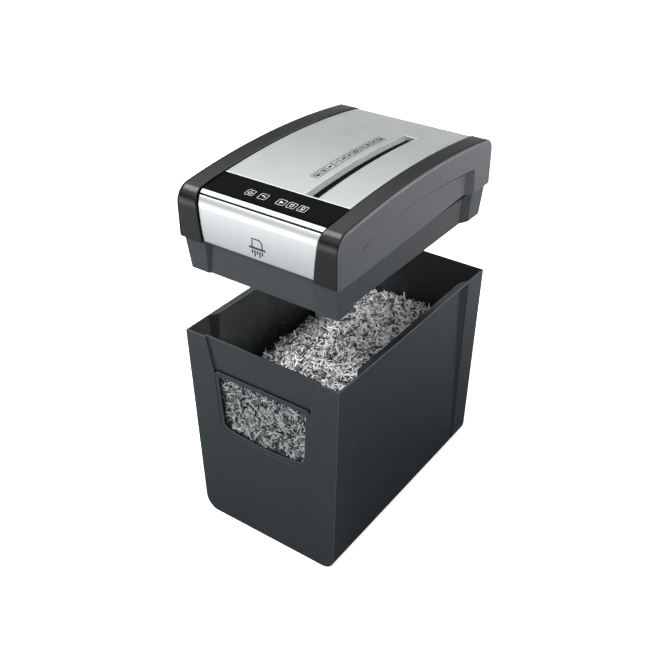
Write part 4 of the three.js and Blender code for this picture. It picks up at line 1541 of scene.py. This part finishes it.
@dataclass
class ShredHeap:
    """The heap of cut paper: a core painted dark as the shade between the strips, and thousands of bent
    strips over it and at the window.
    """

    finishes: Finishes
    seed: int = 20
    top_strips: int = 10800
    top_tilt_deg: float = 26
    top_lift_mm: Point2 = (0.5, 7.0)
    window_strips: int = 3200
    window_tilt_deg: float = 16
    window_gap_mm: Point2 = (2.2, 12.0)
    window_half: float = 73 * MM
    window_z: Point2 = (169 * MM, 258 * MM)
    side_room: float = 4 * MM
    pane_room: float = 1.2 * MM
    core_weld: float = 0.01 * MM
    # The core's corners over this height sink under the loose strips.
    core_split: float = 150 * MM
    core_sink_mm: float = 3.0
    core_rough_mm: float = 2.5
    # The core's tone and its spread: it is painted dark, a painted shade for the gaps between the loose
    # strips.
    core_painted_shade: float = 0.12
    core_spread: float = 0.2

    def build(self) -> list[bpy.types.Object]:
        """Makes the core and the strips.

        Returns:
            The pieces.
        """
        random.seed(self.seed)
        core = self._core()
        surface = BVHTree.FromPolygons(
            [v.co.copy() for v in core.data.vertices], [tuple(p.vertices) for p in core.data.polygons]
        )
        return [core, self._strips(surface)]

    def _core(self) -> bpy.types.Object:
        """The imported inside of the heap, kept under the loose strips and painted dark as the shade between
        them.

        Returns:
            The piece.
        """
        solid = bmesh.new()
        solid.from_mesh(frame["nodes"]["shred_heap"].data)
        bmesh.ops.remove_doubles(solid, verts=solid.verts, dist=self.core_weld)
        bmesh.ops.subdivide_edges(solid, edges=solid.edges, cuts=2, use_grid_fill=True)
        for vertex in solid.verts:
            if vertex.co.z > self.core_split:
                vertex.co.z -= (self.core_sink_mm + random.random() * self.core_rough_mm) * MM
        mesh = bpy.data.meshes.new("shred_core")
        solid.to_mesh(mesh)
        solid.free()
        finish_shading(mesh, sharp_deg=80)
        # Painted shade: the core is dark so that the gaps between the strips read as shade.
        shades = [self.core_painted_shade + self.core_spread * random.random() for _ in mesh.vertices]
        mesh.attributes.new("shade", "FLOAT", "POINT").data.foreach_set("value", shades)
        paper = self.finishes.paper
        return new_piece("shred_core", mesh, paper, Body.BIN, "shred_heap")

    def _strips(self, surface: BVHTree) -> bpy.types.Object:
        """The loose strips.

        Args:
            surface: the core's surface, that the strips lie on.

        Returns:
            The strips as one piece.
        """
        low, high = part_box("shred_heap")
        pile = StripPile(low, high)
        for _ in range(self.top_strips):
            x = random.uniform(low.x + self.side_room, high.x - self.side_room)
            y = random.uniform(low.y + self.side_room, high.y - self.side_room)
            hit, normal, _, _ = surface.ray_cast(Vector((x, y, 1.0)), Vector((0, 0, -1)))
            if hit is None:
                continue
            lift = random.uniform(*self.top_lift_mm) * MM
            pile.add(hit + Vector((0, 0, lift)), normal, self.top_tilt_deg, low.y)
        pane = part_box("window_insert")[1].y
        for _ in range(self.window_strips):
            place = Vector((
                random.uniform(-self.window_half, self.window_half),
                pane + random.uniform(*self.window_gap_mm) * MM,
                random.uniform(*self.window_z),
            ))
            pile.add(place, Vector((0, -1, 0)), self.window_tilt_deg, pane + self.pane_room)
        mesh = pile.mesh("paper_strips")
        return new_piece("paper_strips", mesh, self.finishes.paper, Body.BIN)


# ---------------------------------------------------------------- head


@dataclass
class HeadCasing:
    """The head's outer mouldings: tub, side covers, rails, fascia, trim and top panel."""

    finishes: Finishes
    gap: float = 0.3 * MM
    # Half the centre strip's width at its foot, its shoulder and the crown, and how high these lie.
    foot_half: float = 85.5 * MM
    shoulder_half: float = 92 * MM
    shoulder_rise: float = 58 * MM
    top_half: float = 95.7 * MM
    top_rise: float = 70 * MM
    # Where one part of the centre strip ends and the next starts, front to rear.
    fascia_foot: float = 2 * MM
    fascia_end: float = -174 * MM
    trim_gap: float = 1.9 * MM
    trim_end: float = -166 * MM
    panel_end: float = -121 * MM
    rear_start: float = 168 * MM
    # How far the centre strip is sunk under the rails, at the front and on top, and how it swells.
    centre_inset: Point2 = (3.5 * MM, 1.3 * MM)
    fascia_bulge: float = 0.9 * MM
    rail_outer: float = 119.3 * MM
    rail_thickness: float = 5 * MM
    rail_inner_round: float = 1.0 * MM
    rail_outer_round: float = 1.6 * MM
    rail_end_round: float = 0.4 * MM
    # Edges farther out than these in x or y lie on the lower casing's outside.
    tub_outside: Point2 = (100 * MM, 160 * MM)
    tub_length: float = 10 * MM
    tub_round: float = 0.9 * MM
    # Edges farther out than this lie on a side cover's outer side.
    cover_face: float = 113.5 * MM
    cover_length: float = 4 * MM
    cover_round: float = 0.7 * MM
    # The paper slot: its mouth in the top panel, and the channel that narrows under it.
    slot_x: Point2 = (28.3 * MM, 46.6 * MM)
    slot_y: Point2 = (-118.6 * MM, 105 * MM)
    slot_top: float = 0.9 * MM
    slot_depth: float = 6.6 * MM
    slot_foot: float = 31.6 * MM
    slot_skin: float = 1.2 * MM
    slot_floor: float = 0.3 * MM
    mouth_round: float = 0.4 * MM
    lip: float = 1.9 * MM
    bar_step: float = 4 * MM
    # The black strips in the joints, painted shade for the dark gaps: how deep they lie, and how far they
    # reach from a joint's edge.
    seam: float = 1.6 * MM
    seam_depth: float = 1.4 * MM
    strip_thickness: float = 0.8 * MM
    strip_round: float = 0.1 * MM
    strip_foot: float = 3 * MM
    side_reach: Point2 = (-1.0 * MM, 0.2 * MM)
    cross_reach: Point2 = (-2.0 * MM, 2.5 * MM)
    cover_reach: Point2 = (-0.8 * MM, 1.2 * MM)
    cover_seam_depth: float = 1.8 * MM
    cover_seam_end: float = 1 * MM

    def __post_init__(self) -> None:
        """Sets out the two side views: the rails' and the sunk centre strip's."""
        self.rail_path = CasingPath(0.0, 0.0)
        self.centre_path = CasingPath(*self.centre_inset, bulge=self.fascia_bulge)

    def build(self) -> list[bpy.types.Object]:
        """Makes the casing's pieces.

        Returns:
            The pieces.
        """
        return [
            self._tub(),
            *self._covers(),
            *self._rails(),
            *self._front(),
            self._top(),
            *self._slot_walls(),
            *self._seams(),
        ]

    def _half_width(self, z: float) -> float:
        """Half the centre strip's width.

        Args:
            z: a height over the casing's foot.

        Returns:
            The half width there.
        """
        if z < self.shoulder_rise:
            return self.foot_half + (self.shoulder_half - self.foot_half) * z / self.shoulder_rise
        share = min(1.0, (z - self.shoulder_rise) / (self.top_rise - self.shoulder_rise))
        return self.shoulder_half + (self.top_half - self.shoulder_half) * share

    def half_width_at(self, path: CasingPath) -> Callable[[float], float]:
        """The centre strip's half width, as a function of the distance along a path."""
        return lambda s: self._half_width(path.station(s)[1] - path.foot)

    def _tub(self) -> bpy.types.Object:
        """The lower casing that nests in the bin.

        Returns:
            The piece.
        """

        def on_outside(a: Vector, b: Vector) -> bool:
            """Picks the long edges on the outside.

            Args:
                a: one end of an edge.
                b: its other end.

            Returns:
                Whether the edge is one of them.
            """
            at_side = max(abs(a.x), abs(b.x)) > self.tub_outside[0]
            at_end = max(abs(a.y), abs(b.y)) > self.tub_outside[1]
            return (a - b).length > self.tub_length and (at_side or at_end)

        rounds = [EdgeRound(on_outside, self.tub_round)]
        casing_abs = self.finishes.casing_abs
        return rounded_copy("lower_casing", casing_abs, Body.HEAD, rounds)

    def _covers(self) -> list[bpy.types.Object]:
        """The two side covers, with the crease of the sunk arch softened.

        Returns:
            The pieces.
        """

        def on_face(a: Vector, b: Vector) -> bool:
            """Picks the edges on a cover's outer side.

            Args:
                a: one end of an edge.
                b: its other end.

            Returns:
                Whether the edge is one of them.
            """
            return min(abs(a.x), abs(b.x)) > self.cover_face and (a - b).length > self.cover_length

        rounds = [EdgeRound(on_face, self.cover_round)]
        return [
            rounded_copy(
                f"side_cover_{side}", self.finishes.cover_abs, Body.HEAD, rounds
            )
            for side in ("left", "right")
        ]

    def _rails(self) -> list[bpy.types.Object]:
        """The two arched rails, with a full round along their outer edge.

        Returns:
            The pieces.
        """
        path = self.rail_path
        inner = self.half_width_at(path)
        plate = CasingPlate(
            path, lambda s: inner(s) + self.gap, lambda s: self.rail_outer,
            self.gap, path.length - self.gap,
            self.rail_thickness, self.rail_inner_round, self.rail_outer_round, self.rail_end_round,
        )
        pieces = []
        for side in ("right", "left"):
            name = f"rail_{side}_moulding"
            mesh = plate.build(name)
            if side == "left":
                mirror(mesh)
            pieces.append(
                new_piece(name, mesh, self.finishes.rail_abs, Body.HEAD, f"rail_{side}")
            )
        return pieces

    def centre_plate(self, y0: float | None, y1: float, openings: Sequence[Opening] = ()) -> CasingPlate:
        """A plate of the centre strip between two depths.

        Args:
            y0: where it starts, or None for just over the foot of the front.
            y1: where it ends.
            openings: the holes in it.

        Returns:
            The plate.
        """
        path = self.centre_path
        half = self.half_width_at(path)
        start = self.fascia_foot if y0 is None else path.distance(y0)
        return CasingPlate(
            path, lambda s: self.seam - half(s), lambda s: half(s) - self.seam, start, path.distance(y1),
            openings=openings,
        )

    def _shade_strip(
        self,
        name: str,
        path: CasingPath,
        edges: tuple[Callable[[float], float], Callable[[float], float]],
        ends: Point2,
        left_hand: bool = False,
    ) -> bpy.types.Object:
        """A thin black strip that lies low in a joint, painted shade so that the joint reads as a dark line.

        Args:
            name: the piece's name.
            path: the path that it follows.
            edges: its left and right edge, as functions of the distance along the path.
            ends: where it starts and ends along the path.
            left_hand: whether it is the mirrored twin.

        Returns:
            The piece.
        """
        fine = self.strip_round
        mesh = CasingPlate(path, *edges, *ends, self.strip_thickness, fine, fine, fine).build(name)
        if left_hand:
            mirror(mesh)
        return new_piece(name, mesh, self.finishes.black_nylon, Body.HEAD)

    def _seams(self) -> list[bpy.types.Object]:
        """The black strips, painted shade, in the joints round the centre strip, and between rails and side
        covers.

        Returns:
            The pieces.
        """
        insets = (inset + self.seam_depth for inset in self.centre_inset)
        centre = CasingPath(*insets, bulge=self.fascia_bulge)
        cover = CasingPath(self.cover_seam_depth, self.cover_seam_depth)
        half = self.half_width_at(centre)
        left, right = self.side_reach
        beside_centre = (lambda s: half(s) - self.seam + left, lambda s: half(s) + right)
        near, far = self.cover_reach
        beside_cover = (lambda s: self.rail_outer + near, lambda s: self.rail_outer + far)
        before, past = self.cross_reach
        pieces = []
        for side in ("right", "left"):
            left_hand = side == "left"
            ends = (self.strip_foot, centre.distance(self.rear_start))
            pieces.append(self._shade_strip(f"joint_strip_{side}", centre, beside_centre, ends, left_hand))
            ends = (self.cover_seam_end, cover.length - self.cover_seam_end)
            name = f"joint_strip_cover_{side}"
            pieces.append(self._shade_strip(name, cover, beside_cover, ends, left_hand))
        for part, y in (("fascia", self.fascia_end), ("trim", self.trim_end)):
            middle = centre.distance(y)
            ends = (middle + before, middle + past)
            edges = (lambda s: -half(s), half)
            pieces.append(self._shade_strip(f"joint_strip_{part}", centre, edges, ends))
        return pieces

    def _front(self) -> list[bpy.types.Object]:
        """The fascia and the trim strip over it.

        Returns:
            The pieces.
        """
        pieces = []
        for node, y0, y1 in (
            ("front_fascia", None, self.fascia_end),
            ("fascia_trim", self.fascia_end + self.trim_gap, self.trim_end - self.gap),
        ):
            name = f"{node}_moulding"
            mesh = self.centre_plate(y0, y1).build(name)
            pieces.append(new_piece(name, mesh, self.finishes.silver, Body.HEAD, node))
        return pieces

    def _top(self) -> bpy.types.Object:
        """The silver top panel with the mouth of the paper slot.

        Returns:
            The piece.
        """
        along = (self.centre_path.distance(y) for y in self.slot_y)
        mouth = Opening(*self.slot_x, *along, self.mouth_round, self.lip)
        name = "top_panel_moulding"
        mesh = self.centre_plate(self.panel_end, self.rear_start, [mouth]).build(name)
        return new_piece(name, mesh, self.finishes.silver, Body.HEAD, "top_panel")

    def _slot_walls(self) -> list[bpy.types.Object]:
        """The walls and the dark floor of the slot's channel, under the mouth in the top panel.

        Returns:
            The pieces.
        """
        left, right = self.slot_x
        front, rear = self.slot_y
        skin, top, deep, foot = self.slot_skin, self.slot_top, self.slot_depth, self.slot_foot
        whole = (front - skin, rear + skin)
        across = [(left, top), (right, top), (right, deep), (foot, deep)]
        ramp = [(left - skin, top), (left, top), (foot, deep), (foot - skin, deep)]
        upright = [(right, top), (right + skin, top), (right + skin, deep), (right, deep)]
        under = deep - self.slot_floor
        floor = [(foot - skin, under), (right, under), (right, deep), (foot - skin, deep)]
        # The side and front walls take the darker dull silver, partly painted shade inside the slot; the
        # rear wall, which faces the light, keeps the bright lacquer as painted light.
        lacquer, dull, black = self.finishes.silver, self.finishes.shaded_silver_abs, self.finishes.black_nylon
        return [
            self._bar("slot_wall_left", whole, ramp, dull),
            self._bar("slot_wall_right", whole, upright, dull),
            self._bar("slot_wall_front", (front - skin, front), across, dull),
            self._bar("slot_wall_rear", (rear, rear + skin), across, lacquer),
            self._bar("slot_floor", (front, rear), floor, black),
        ]

    def _bar(
        self, name: str, ends: Point2, section: list[Point2], material: bpy.types.Material
    ) -> bpy.types.Object:
        """A bar with one section of (x, depth) points, carried along the crown.

        Args:
            name: the piece's name.
            ends: the y of its front and rear ends.
            section: its corners, each an x and a depth under the surface.
            material: its finish.

        Returns:
            The piece.
        """
        y0, y1 = ends
        steps = max(1, round((y1 - y0) / self.bar_step))
        points = []
        for i in range(steps + 1):
            y = y0 + (y1 - y0) * i / steps
            points += [(x, y, self.centre_path.surface(y) - depth) for x, depth in section]
        count = len(section)
        faces = [list(range(count)), list(range(steps * count, (steps + 1) * count))[::-1]]
        for i in range(steps):
            for k in range(count):
                a, b = i * count + k, i * count + (k + 1) % count
                faces.append([a, b, b + count, a + count])
        return new_piece(name, smooth_mesh(name, points, faces, sharp_deg=30), material, Body.HEAD)


def mirror(mesh: bpy.types.Mesh) -> None:
    """Turns a right-hand mesh into its left-hand twin.

    Args:
        mesh: the mesh.
    """
    for vertex in mesh.vertices:
        vertex.co.x = -vertex.co.x
    mesh.flip_normals()


@dataclass
class ControlPanel:
    """The black panel with its two keys, three lights and their white symbols."""

    finishes: Finishes
    casing: HeadCasing
    key_y: float = -147.8 * MM
    key_size: float = 13 * MM
    key_gap: float = 0.35 * MM
    key_round: float = 0.35 * MM
    # Only a key's square edges are rounded, not the facets of its curved face.
    key_turn: Point2 = (60, 100)
    opening_round: float = 0.3 * MM
    symbol_size: float = 11.9 * MM
    frame_line: float = 0.075
    symbol_line: float = 0.12

    def build(self) -> list[bpy.types.Object]:
        """Makes the panel, the keys, the lights and the symbols.

        Returns:
            The pieces.
        """
        spots = (
            ("power_button", Mark.POWER, Body.POWER_KEY),
            ("reverse_button", Mark.RETURN, Body.REVERSE_KEY),
            ("light_lens_ready", Mark.READY, Body.HEAD),
            ("light_lens_bin_full", Mark.BIN, Body.HEAD),
            ("light_lens_jam", Mark.JAM, Body.HEAD),
        )
        rounds = [EdgeRound(anywhere, self.key_round)]
        pieces = [self._panel([self._middle(node) for node, _, _ in spots])]
        for node, mark, body in spots:
            pieces.append(rounded_copy(node, self.finishes.acrylic, body, rounds, self.key_turn))
            plane = CrownPlane(self.casing.centre_path, self._middle(node), self.key_y)
            name = f"symbol_{mark.value}"
            mesh = draw(mark, self.symbol_size, self.frame_line, self.symbol_line).build(name, plane)
            pieces.append(new_piece(name, mesh, self.finishes.white_ink, body))
        return pieces

    @staticmethod
    def _middle(node: str) -> float:
        """The x of a key's or light's middle."""
        low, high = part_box(node)
        return (low.x + high.x) / 2

    def _panel(self, middles: Sequence[float]) -> bpy.types.Object:
        """The black plate with a square opening for each key and light.

        Args:
            middles: the x of each opening's middle.

        Returns:
            The piece.
        """
        casing = self.casing
        half = self.key_size / 2 + self.key_gap
        s0, s1 = (casing.centre_path.distance(self.key_y + side * half) for side in (-1, 1))
        holes = [Opening(x - half, x + half, s0, s1, self.opening_round) for x in middles]
        plate = casing.centre_plate(casing.trim_end, casing.panel_end - casing.gap, holes)
        name = "control_panel_plate"
        acrylic = self.finishes.acrylic
        return new_piece(name, plate.build(name), acrylic, Body.HEAD, "control_panel")


@dataclass
class CasingPrint:
    """What is printed on the silver parts: a row of symbols beside the slot and one on the fascia."""

    finishes: Finishes
    casing: HeadCasing
    row_x: float = 11.6 * MM
    row_y: Point2 = (-73 * MM, 69 * MM)
    row_size: float = 12.9 * MM
    frame_line: float = 0.12
    symbol_line: float = 0.3
    mark_place: Point2 = (2 * MM, 18 * MM)
    mark_size: float = 25 * MM

    def build(self) -> list[bpy.types.Object]:
        """Prints the row and the fascia's mark.

        Returns:
            The pieces.
        """
        marks = (
            Mark.SHEETS, Mark.CARD, Mark.DROP, Mark.BOLT, Mark.CLIP, Mark.CROSS,
            Mark.DISC, Mark.SHEET, Mark.CARD, Mark.CROSS, Mark.SHEETS,
        )
        pieces = []
        for k, mark in enumerate(marks):
            y = self.row_y[0] + (self.row_y[1] - self.row_y[0]) * k / (len(marks) - 1)
            plane = CrownPlane(self.casing.centre_path, self.row_x, y)
            name = f"slot_symbol_{k + 1}"
            mesh = draw(mark, self.row_size, self.frame_line, self.symbol_line).build(name, plane)
            pieces.append(self._printed(name, mesh))
        pieces.append(self._fascia_mark())
        return pieces

    def _printed(self, name: str, mesh: bpy.types.Mesh) -> bpy.types.Object:
        """A black print on the silver parts of the head."""
        return new_piece(name, mesh, self.finishes.black_ink, Body.HEAD)

    def _fascia_mark(self) -> bpy.types.Object:
        """A plain sheet falling into strips, in the middle of the fascia.

        Returns:
            The piece.
        """
        x, z = self.mark_place
        symbol = Symbol(self.mark_size)
        symbol.line([(-0.6, 0.0), (-0.6, 0.95), (0.3, 0.95), (0.6, 0.62), (0.6, 0.0)], 0.15)
        symbol.line([(-1.0, 0.0), (1.0, 0.0)], 0.2)
        for k in range(5):
            offset = -0.6 + 0.3 * k
            symbol.line([(offset, -0.22), (offset, -0.62 - 0.3 * (k % 2))], 0.16)
        mesh = symbol.build("fascia_mark", FrontPlane(self.casing.centre_path, x, z))
        return self._printed("fascia_mark", mesh)


@dataclass
class Inside:
    """Everything in the head that keeps its frame shape: cutters, gears, plates, motor and fasteners."""

    finishes: Finishes

    def build(self) -> list[bpy.types.Object]:
        """Gives each frame node the finish of its slot.

        Returns:
            The dressed nodes.
        """
        dressed = []
        for entry in frame["record"]["subparts"]:
            node = frame["nodes"][entry["node"]]
            material = self.finishes.for_slot(Slot(entry["material_slot"]))
            node.data.materials.clear()
            node.data.materials.append(material)
            finish_shading(node.data, sharp_deg=30)
            dressed.append(node)
        return dressed


# ---------------------------------------------------------------- studio


@dataclass(frozen=True)
class Softbox:
    """A rectangular soft light: where it hangs, the point that it faces, its size and its watts."""

    name: str
    place: Point3
    target: Point3
    size: Point2
    power: float

    def hang(self) -> None:
        """Adds the light to the scene."""
        light = bpy.data.lights.new(self.name, "AREA")
        light.shape = "RECTANGLE"
        light.size, light.size_y = self.size
        light.energy = self.power
        lamp = bpy.data.objects.new(self.name, light)
        lamp.location = self.place
        lamp.rotation_euler = (Vector(self.place) - Vector(self.target)).to_track_quat("Z", "Y").to_euler()
        bpy.context.scene.collection.objects.link(lamp)


@dataclass
class Studio:
    """A white floor, soft light and the camera."""

    # The key gives the rails their corner highlight, the front one fills the fascia and the bin's
    # front, and the rim one draws the edges at the rear.
    softboxes: Sequence[Softbox] = (
        Softbox("key_softbox", (-1.25, -0.35, 2.3), (0.0, -0.1, 0.4), (1.0, 0.8), 16),
        Softbox("front_softbox", (-1.2, -2.4, 0.5), (0.0, 0.0, 0.35), (3.0, 1.0), 12),
        Softbox("rim_softbox", (1.9, 1.9, 0.75), (0.0, 0.0, 0.4), (0.9, 1.0), 18),
    )
    sun_from: Point3 = (-0.36, -0.78, 0.86)
    sun_strength: float = 2.7
    sun_angle_deg: float = 24
    camera_place: Point3 = (0.6498, -0.9426, 1.0072)
    azimuth_deg: float = 35.09
    elevation_deg: float = 33.42
    lens_mm: float = 50.89
    sensor_mm: float = 36.0
    floor_size: float = 14.0
    floor_cloud: float = 0.5
    pale_floor: tuple[str, str] = ("#f2f2f2", "#f6f6f6")
    # To reflections the floor is painted darker near the shredder, a painted shadow: its colour there, and
    # where it starts and ends.
    shadowed_floor_colour: str = "#54575a"
    far_floor: str = "#f4f4f4"
    painted_shadow_start: float = 0.2
    painted_shadow_reach: float = 2.6
    floor_glow: float = 0.65
    # The surroundings that reflections see: how high each band reaches, and how bright it is.
    horizon_band: Point2 = (0.02, 0.2)
    horizon_light: float = 0.8
    wall_light: float = 0.26
    ceiling_band: Point2 = (0.4, 0.66)
    ceiling_light: float = 1.16

    def build(self) -> None:
        """Sets the floor, the lights, the surroundings and the camera."""
        self._floor()
        self._surroundings()
        for softbox in self.softboxes:
            softbox.hang()
        self._sun()
        self._camera()
        bpy.context.scene.view_settings.view_transform = "Standard"

    def _floor(self) -> None:
        """A large pale floor; to reflections it is painted darker near the shredder, a painted shadow round
        its base.
        """
        half = self.floor_size / 2
        mesh = bpy.data.meshes.new("floor")
        corners = [(x, y, 0.0) for x, y in box_points(-half, -half, half, half)]
        mesh.from_pydata(corners, [], [(0, 1, 2, 3)])
        floor = bpy.data.objects.new("floor", mesh)
        bpy.context.scene.collection.objects.link(floor)
        material, tree, shader, place = Finish("studio_paper", self.far_floor).begin()
        seen = add_node(tree, "ShaderNodeLightPath").outputs["Is Camera Ray"]
        noise = add_node(tree, "ShaderNodeTexNoise", inputs={"Vector": place, "Scale": 1 / self.floor_cloud})
        pale = add_node(tree, "ShaderNodeMix", {"data_type": "RGBA"}, {
            0: noise.outputs[0], 6: linear(self.pale_floor[0]), 7: linear(self.pale_floor[1]),
        })
        # Painted shadow: to reflections the floor is darker near the shredder and pale farther out.
        away = add_node(tree, "ShaderNodeVectorMath", {"operation": "LENGTH"}, {0: place})
        reach = add_node(tree, "ShaderNodeMapRange", inputs={
            "Value": away.outputs["Value"], "From Min": self.painted_shadow_start, "From Max": self.painted_shadow_reach,
        })
        painted_shadow_mix = add_node(tree, "ShaderNodeMix", {"data_type": "RGBA"}, {
            0: reach.outputs[0], 6: linear(self.shadowed_floor_colour), 7: linear(self.far_floor),
        })
        tint = add_node(tree, "ShaderNodeMix", {"data_type": "RGBA"}, {
            0: seen, 6: painted_shadow_mix.outputs[2], 7: pale.outputs[2],
        })
        glow = add_node(tree, "ShaderNodeMath", {"operation": "MULTIPLY"}, {0: seen, 1: self.floor_glow})
        tree.links.new(tint.outputs[2], shader.inputs["Base Color"])
        tree.links.new(glow.outputs[0], shader.inputs["Emission Strength"])
        shader.inputs["Roughness"].default_value = 0.9
        shader.inputs["Specular IOR Level"].default_value = 0.1
        shader.inputs["Emission Color"].default_value = (1.0, 1.0, 1.0, 1.0)
        mesh.materials.append(material)

    def _surroundings(self) -> None:
        """A white room whose walls are dark and whose ceiling is bright to reflections."""
        world = bpy.data.worlds.new("studio_room")
        world.use_nodes = True
        tree = world.node_tree
        tree.nodes.clear()
        seen = add_node(tree, "ShaderNodeLightPath").outputs["Is Camera Ray"]
        place = add_node(tree, "ShaderNodeTexCoord").outputs["Generated"]
        height = add_node(tree, "ShaderNodeSeparateXYZ", inputs={0: place}).outputs["Z"]
        band = add_node(tree, "ShaderNodeMapRange", {"interpolation_type": "SMOOTHSTEP"}, {
            "Value": height, "From Min": self.horizon_band[0], "From Max": self.horizon_band[1],
            "To Min": self.horizon_light, "To Max": 0.0,
        })
        upper = add_node(tree, "ShaderNodeMapRange", {"interpolation_type": "SMOOTHSTEP"}, {
            "Value": height, "From Min": self.ceiling_band[0], "From Max": self.ceiling_band[1],
            "To Min": self.wall_light, "To Max": self.ceiling_light,
        })
        level = add_node(tree, "ShaderNodeMath", {"operation": "MAXIMUM"}, {
            0: band.outputs[0], 1: upper.outputs[0],
        })
        strength = add_node(tree, "ShaderNodeMix", {"data_type": "FLOAT"}, {
            0: seen, 2: level.outputs[0], 3: 1.0,
        })
        sky = add_node(tree, "ShaderNodeBackground", inputs={"Strength": strength.outputs[0]})
        add_node(tree, "ShaderNodeOutputWorld", inputs={"Surface": sky.outputs[0]})
        sky.inputs["Color"].default_value = (1.0, 1.0, 1.0, 1.0)
        bpy.context.scene.world = world

    def _sun(self) -> None:
        """A wide soft sun from the front left, that leaves no reflection of itself."""
        light = bpy.data.lights.new("soft_sun", "SUN")
        light.energy = self.sun_strength
        light.angle = math.radians(self.sun_angle_deg)
        lamp = bpy.data.objects.new("soft_sun", light)
        lamp.rotation_euler = Vector(self.sun_from).to_track_quat("Z", "Y").to_euler()
        lamp.visible_glossy = False
        bpy.context.scene.collection.objects.link(lamp)

    def _camera(self) -> None:
        """The camera, looking down on the front right corner."""
        azimuth, elevation = math.radians(self.azimuth_deg), math.radians(self.elevation_deg)
        level = math.cos(elevation)
        back = Vector((math.sin(azimuth) * level, -math.cos(azimuth) * level, math.sin(elevation)))
        data = bpy.data.cameras.new("camera")
        data.lens = self.lens_mm
        data.sensor_width = self.sensor_mm
        data.clip_end = 50.0
        camera = bpy.data.objects.new("camera", data)
        camera.location = self.camera_place
        camera.rotation_euler = back.to_track_quat("Z", "Y").to_euler()
        bpy.context.scene.collection.objects.link(camera)
        bpy.context.scene.camera = camera


def main() -> None:
    """Builds the studio and every sub-assembly in order, and reports each piece."""
    logging.basicConfig(level=logging.INFO, format="%(name)s: %(message)s")
    Studio().build()
    finishes = Finishes()
    casing = HeadCasing(finishes)
    assemblies = (
        Inside(finishes),
        WasteBin(finishes),
        ShredHeap(finishes),
        casing,
        ControlPanel(finishes, casing),
        CasingPrint(finishes, casing),
    )
    for assembly in assemblies:
        for piece in assembly.build():
            LOG.info("%s: %s, %d faces", type(assembly).__name__, piece.name, len(piece.data.polygons))


if __name__ == "__main__":
    main()
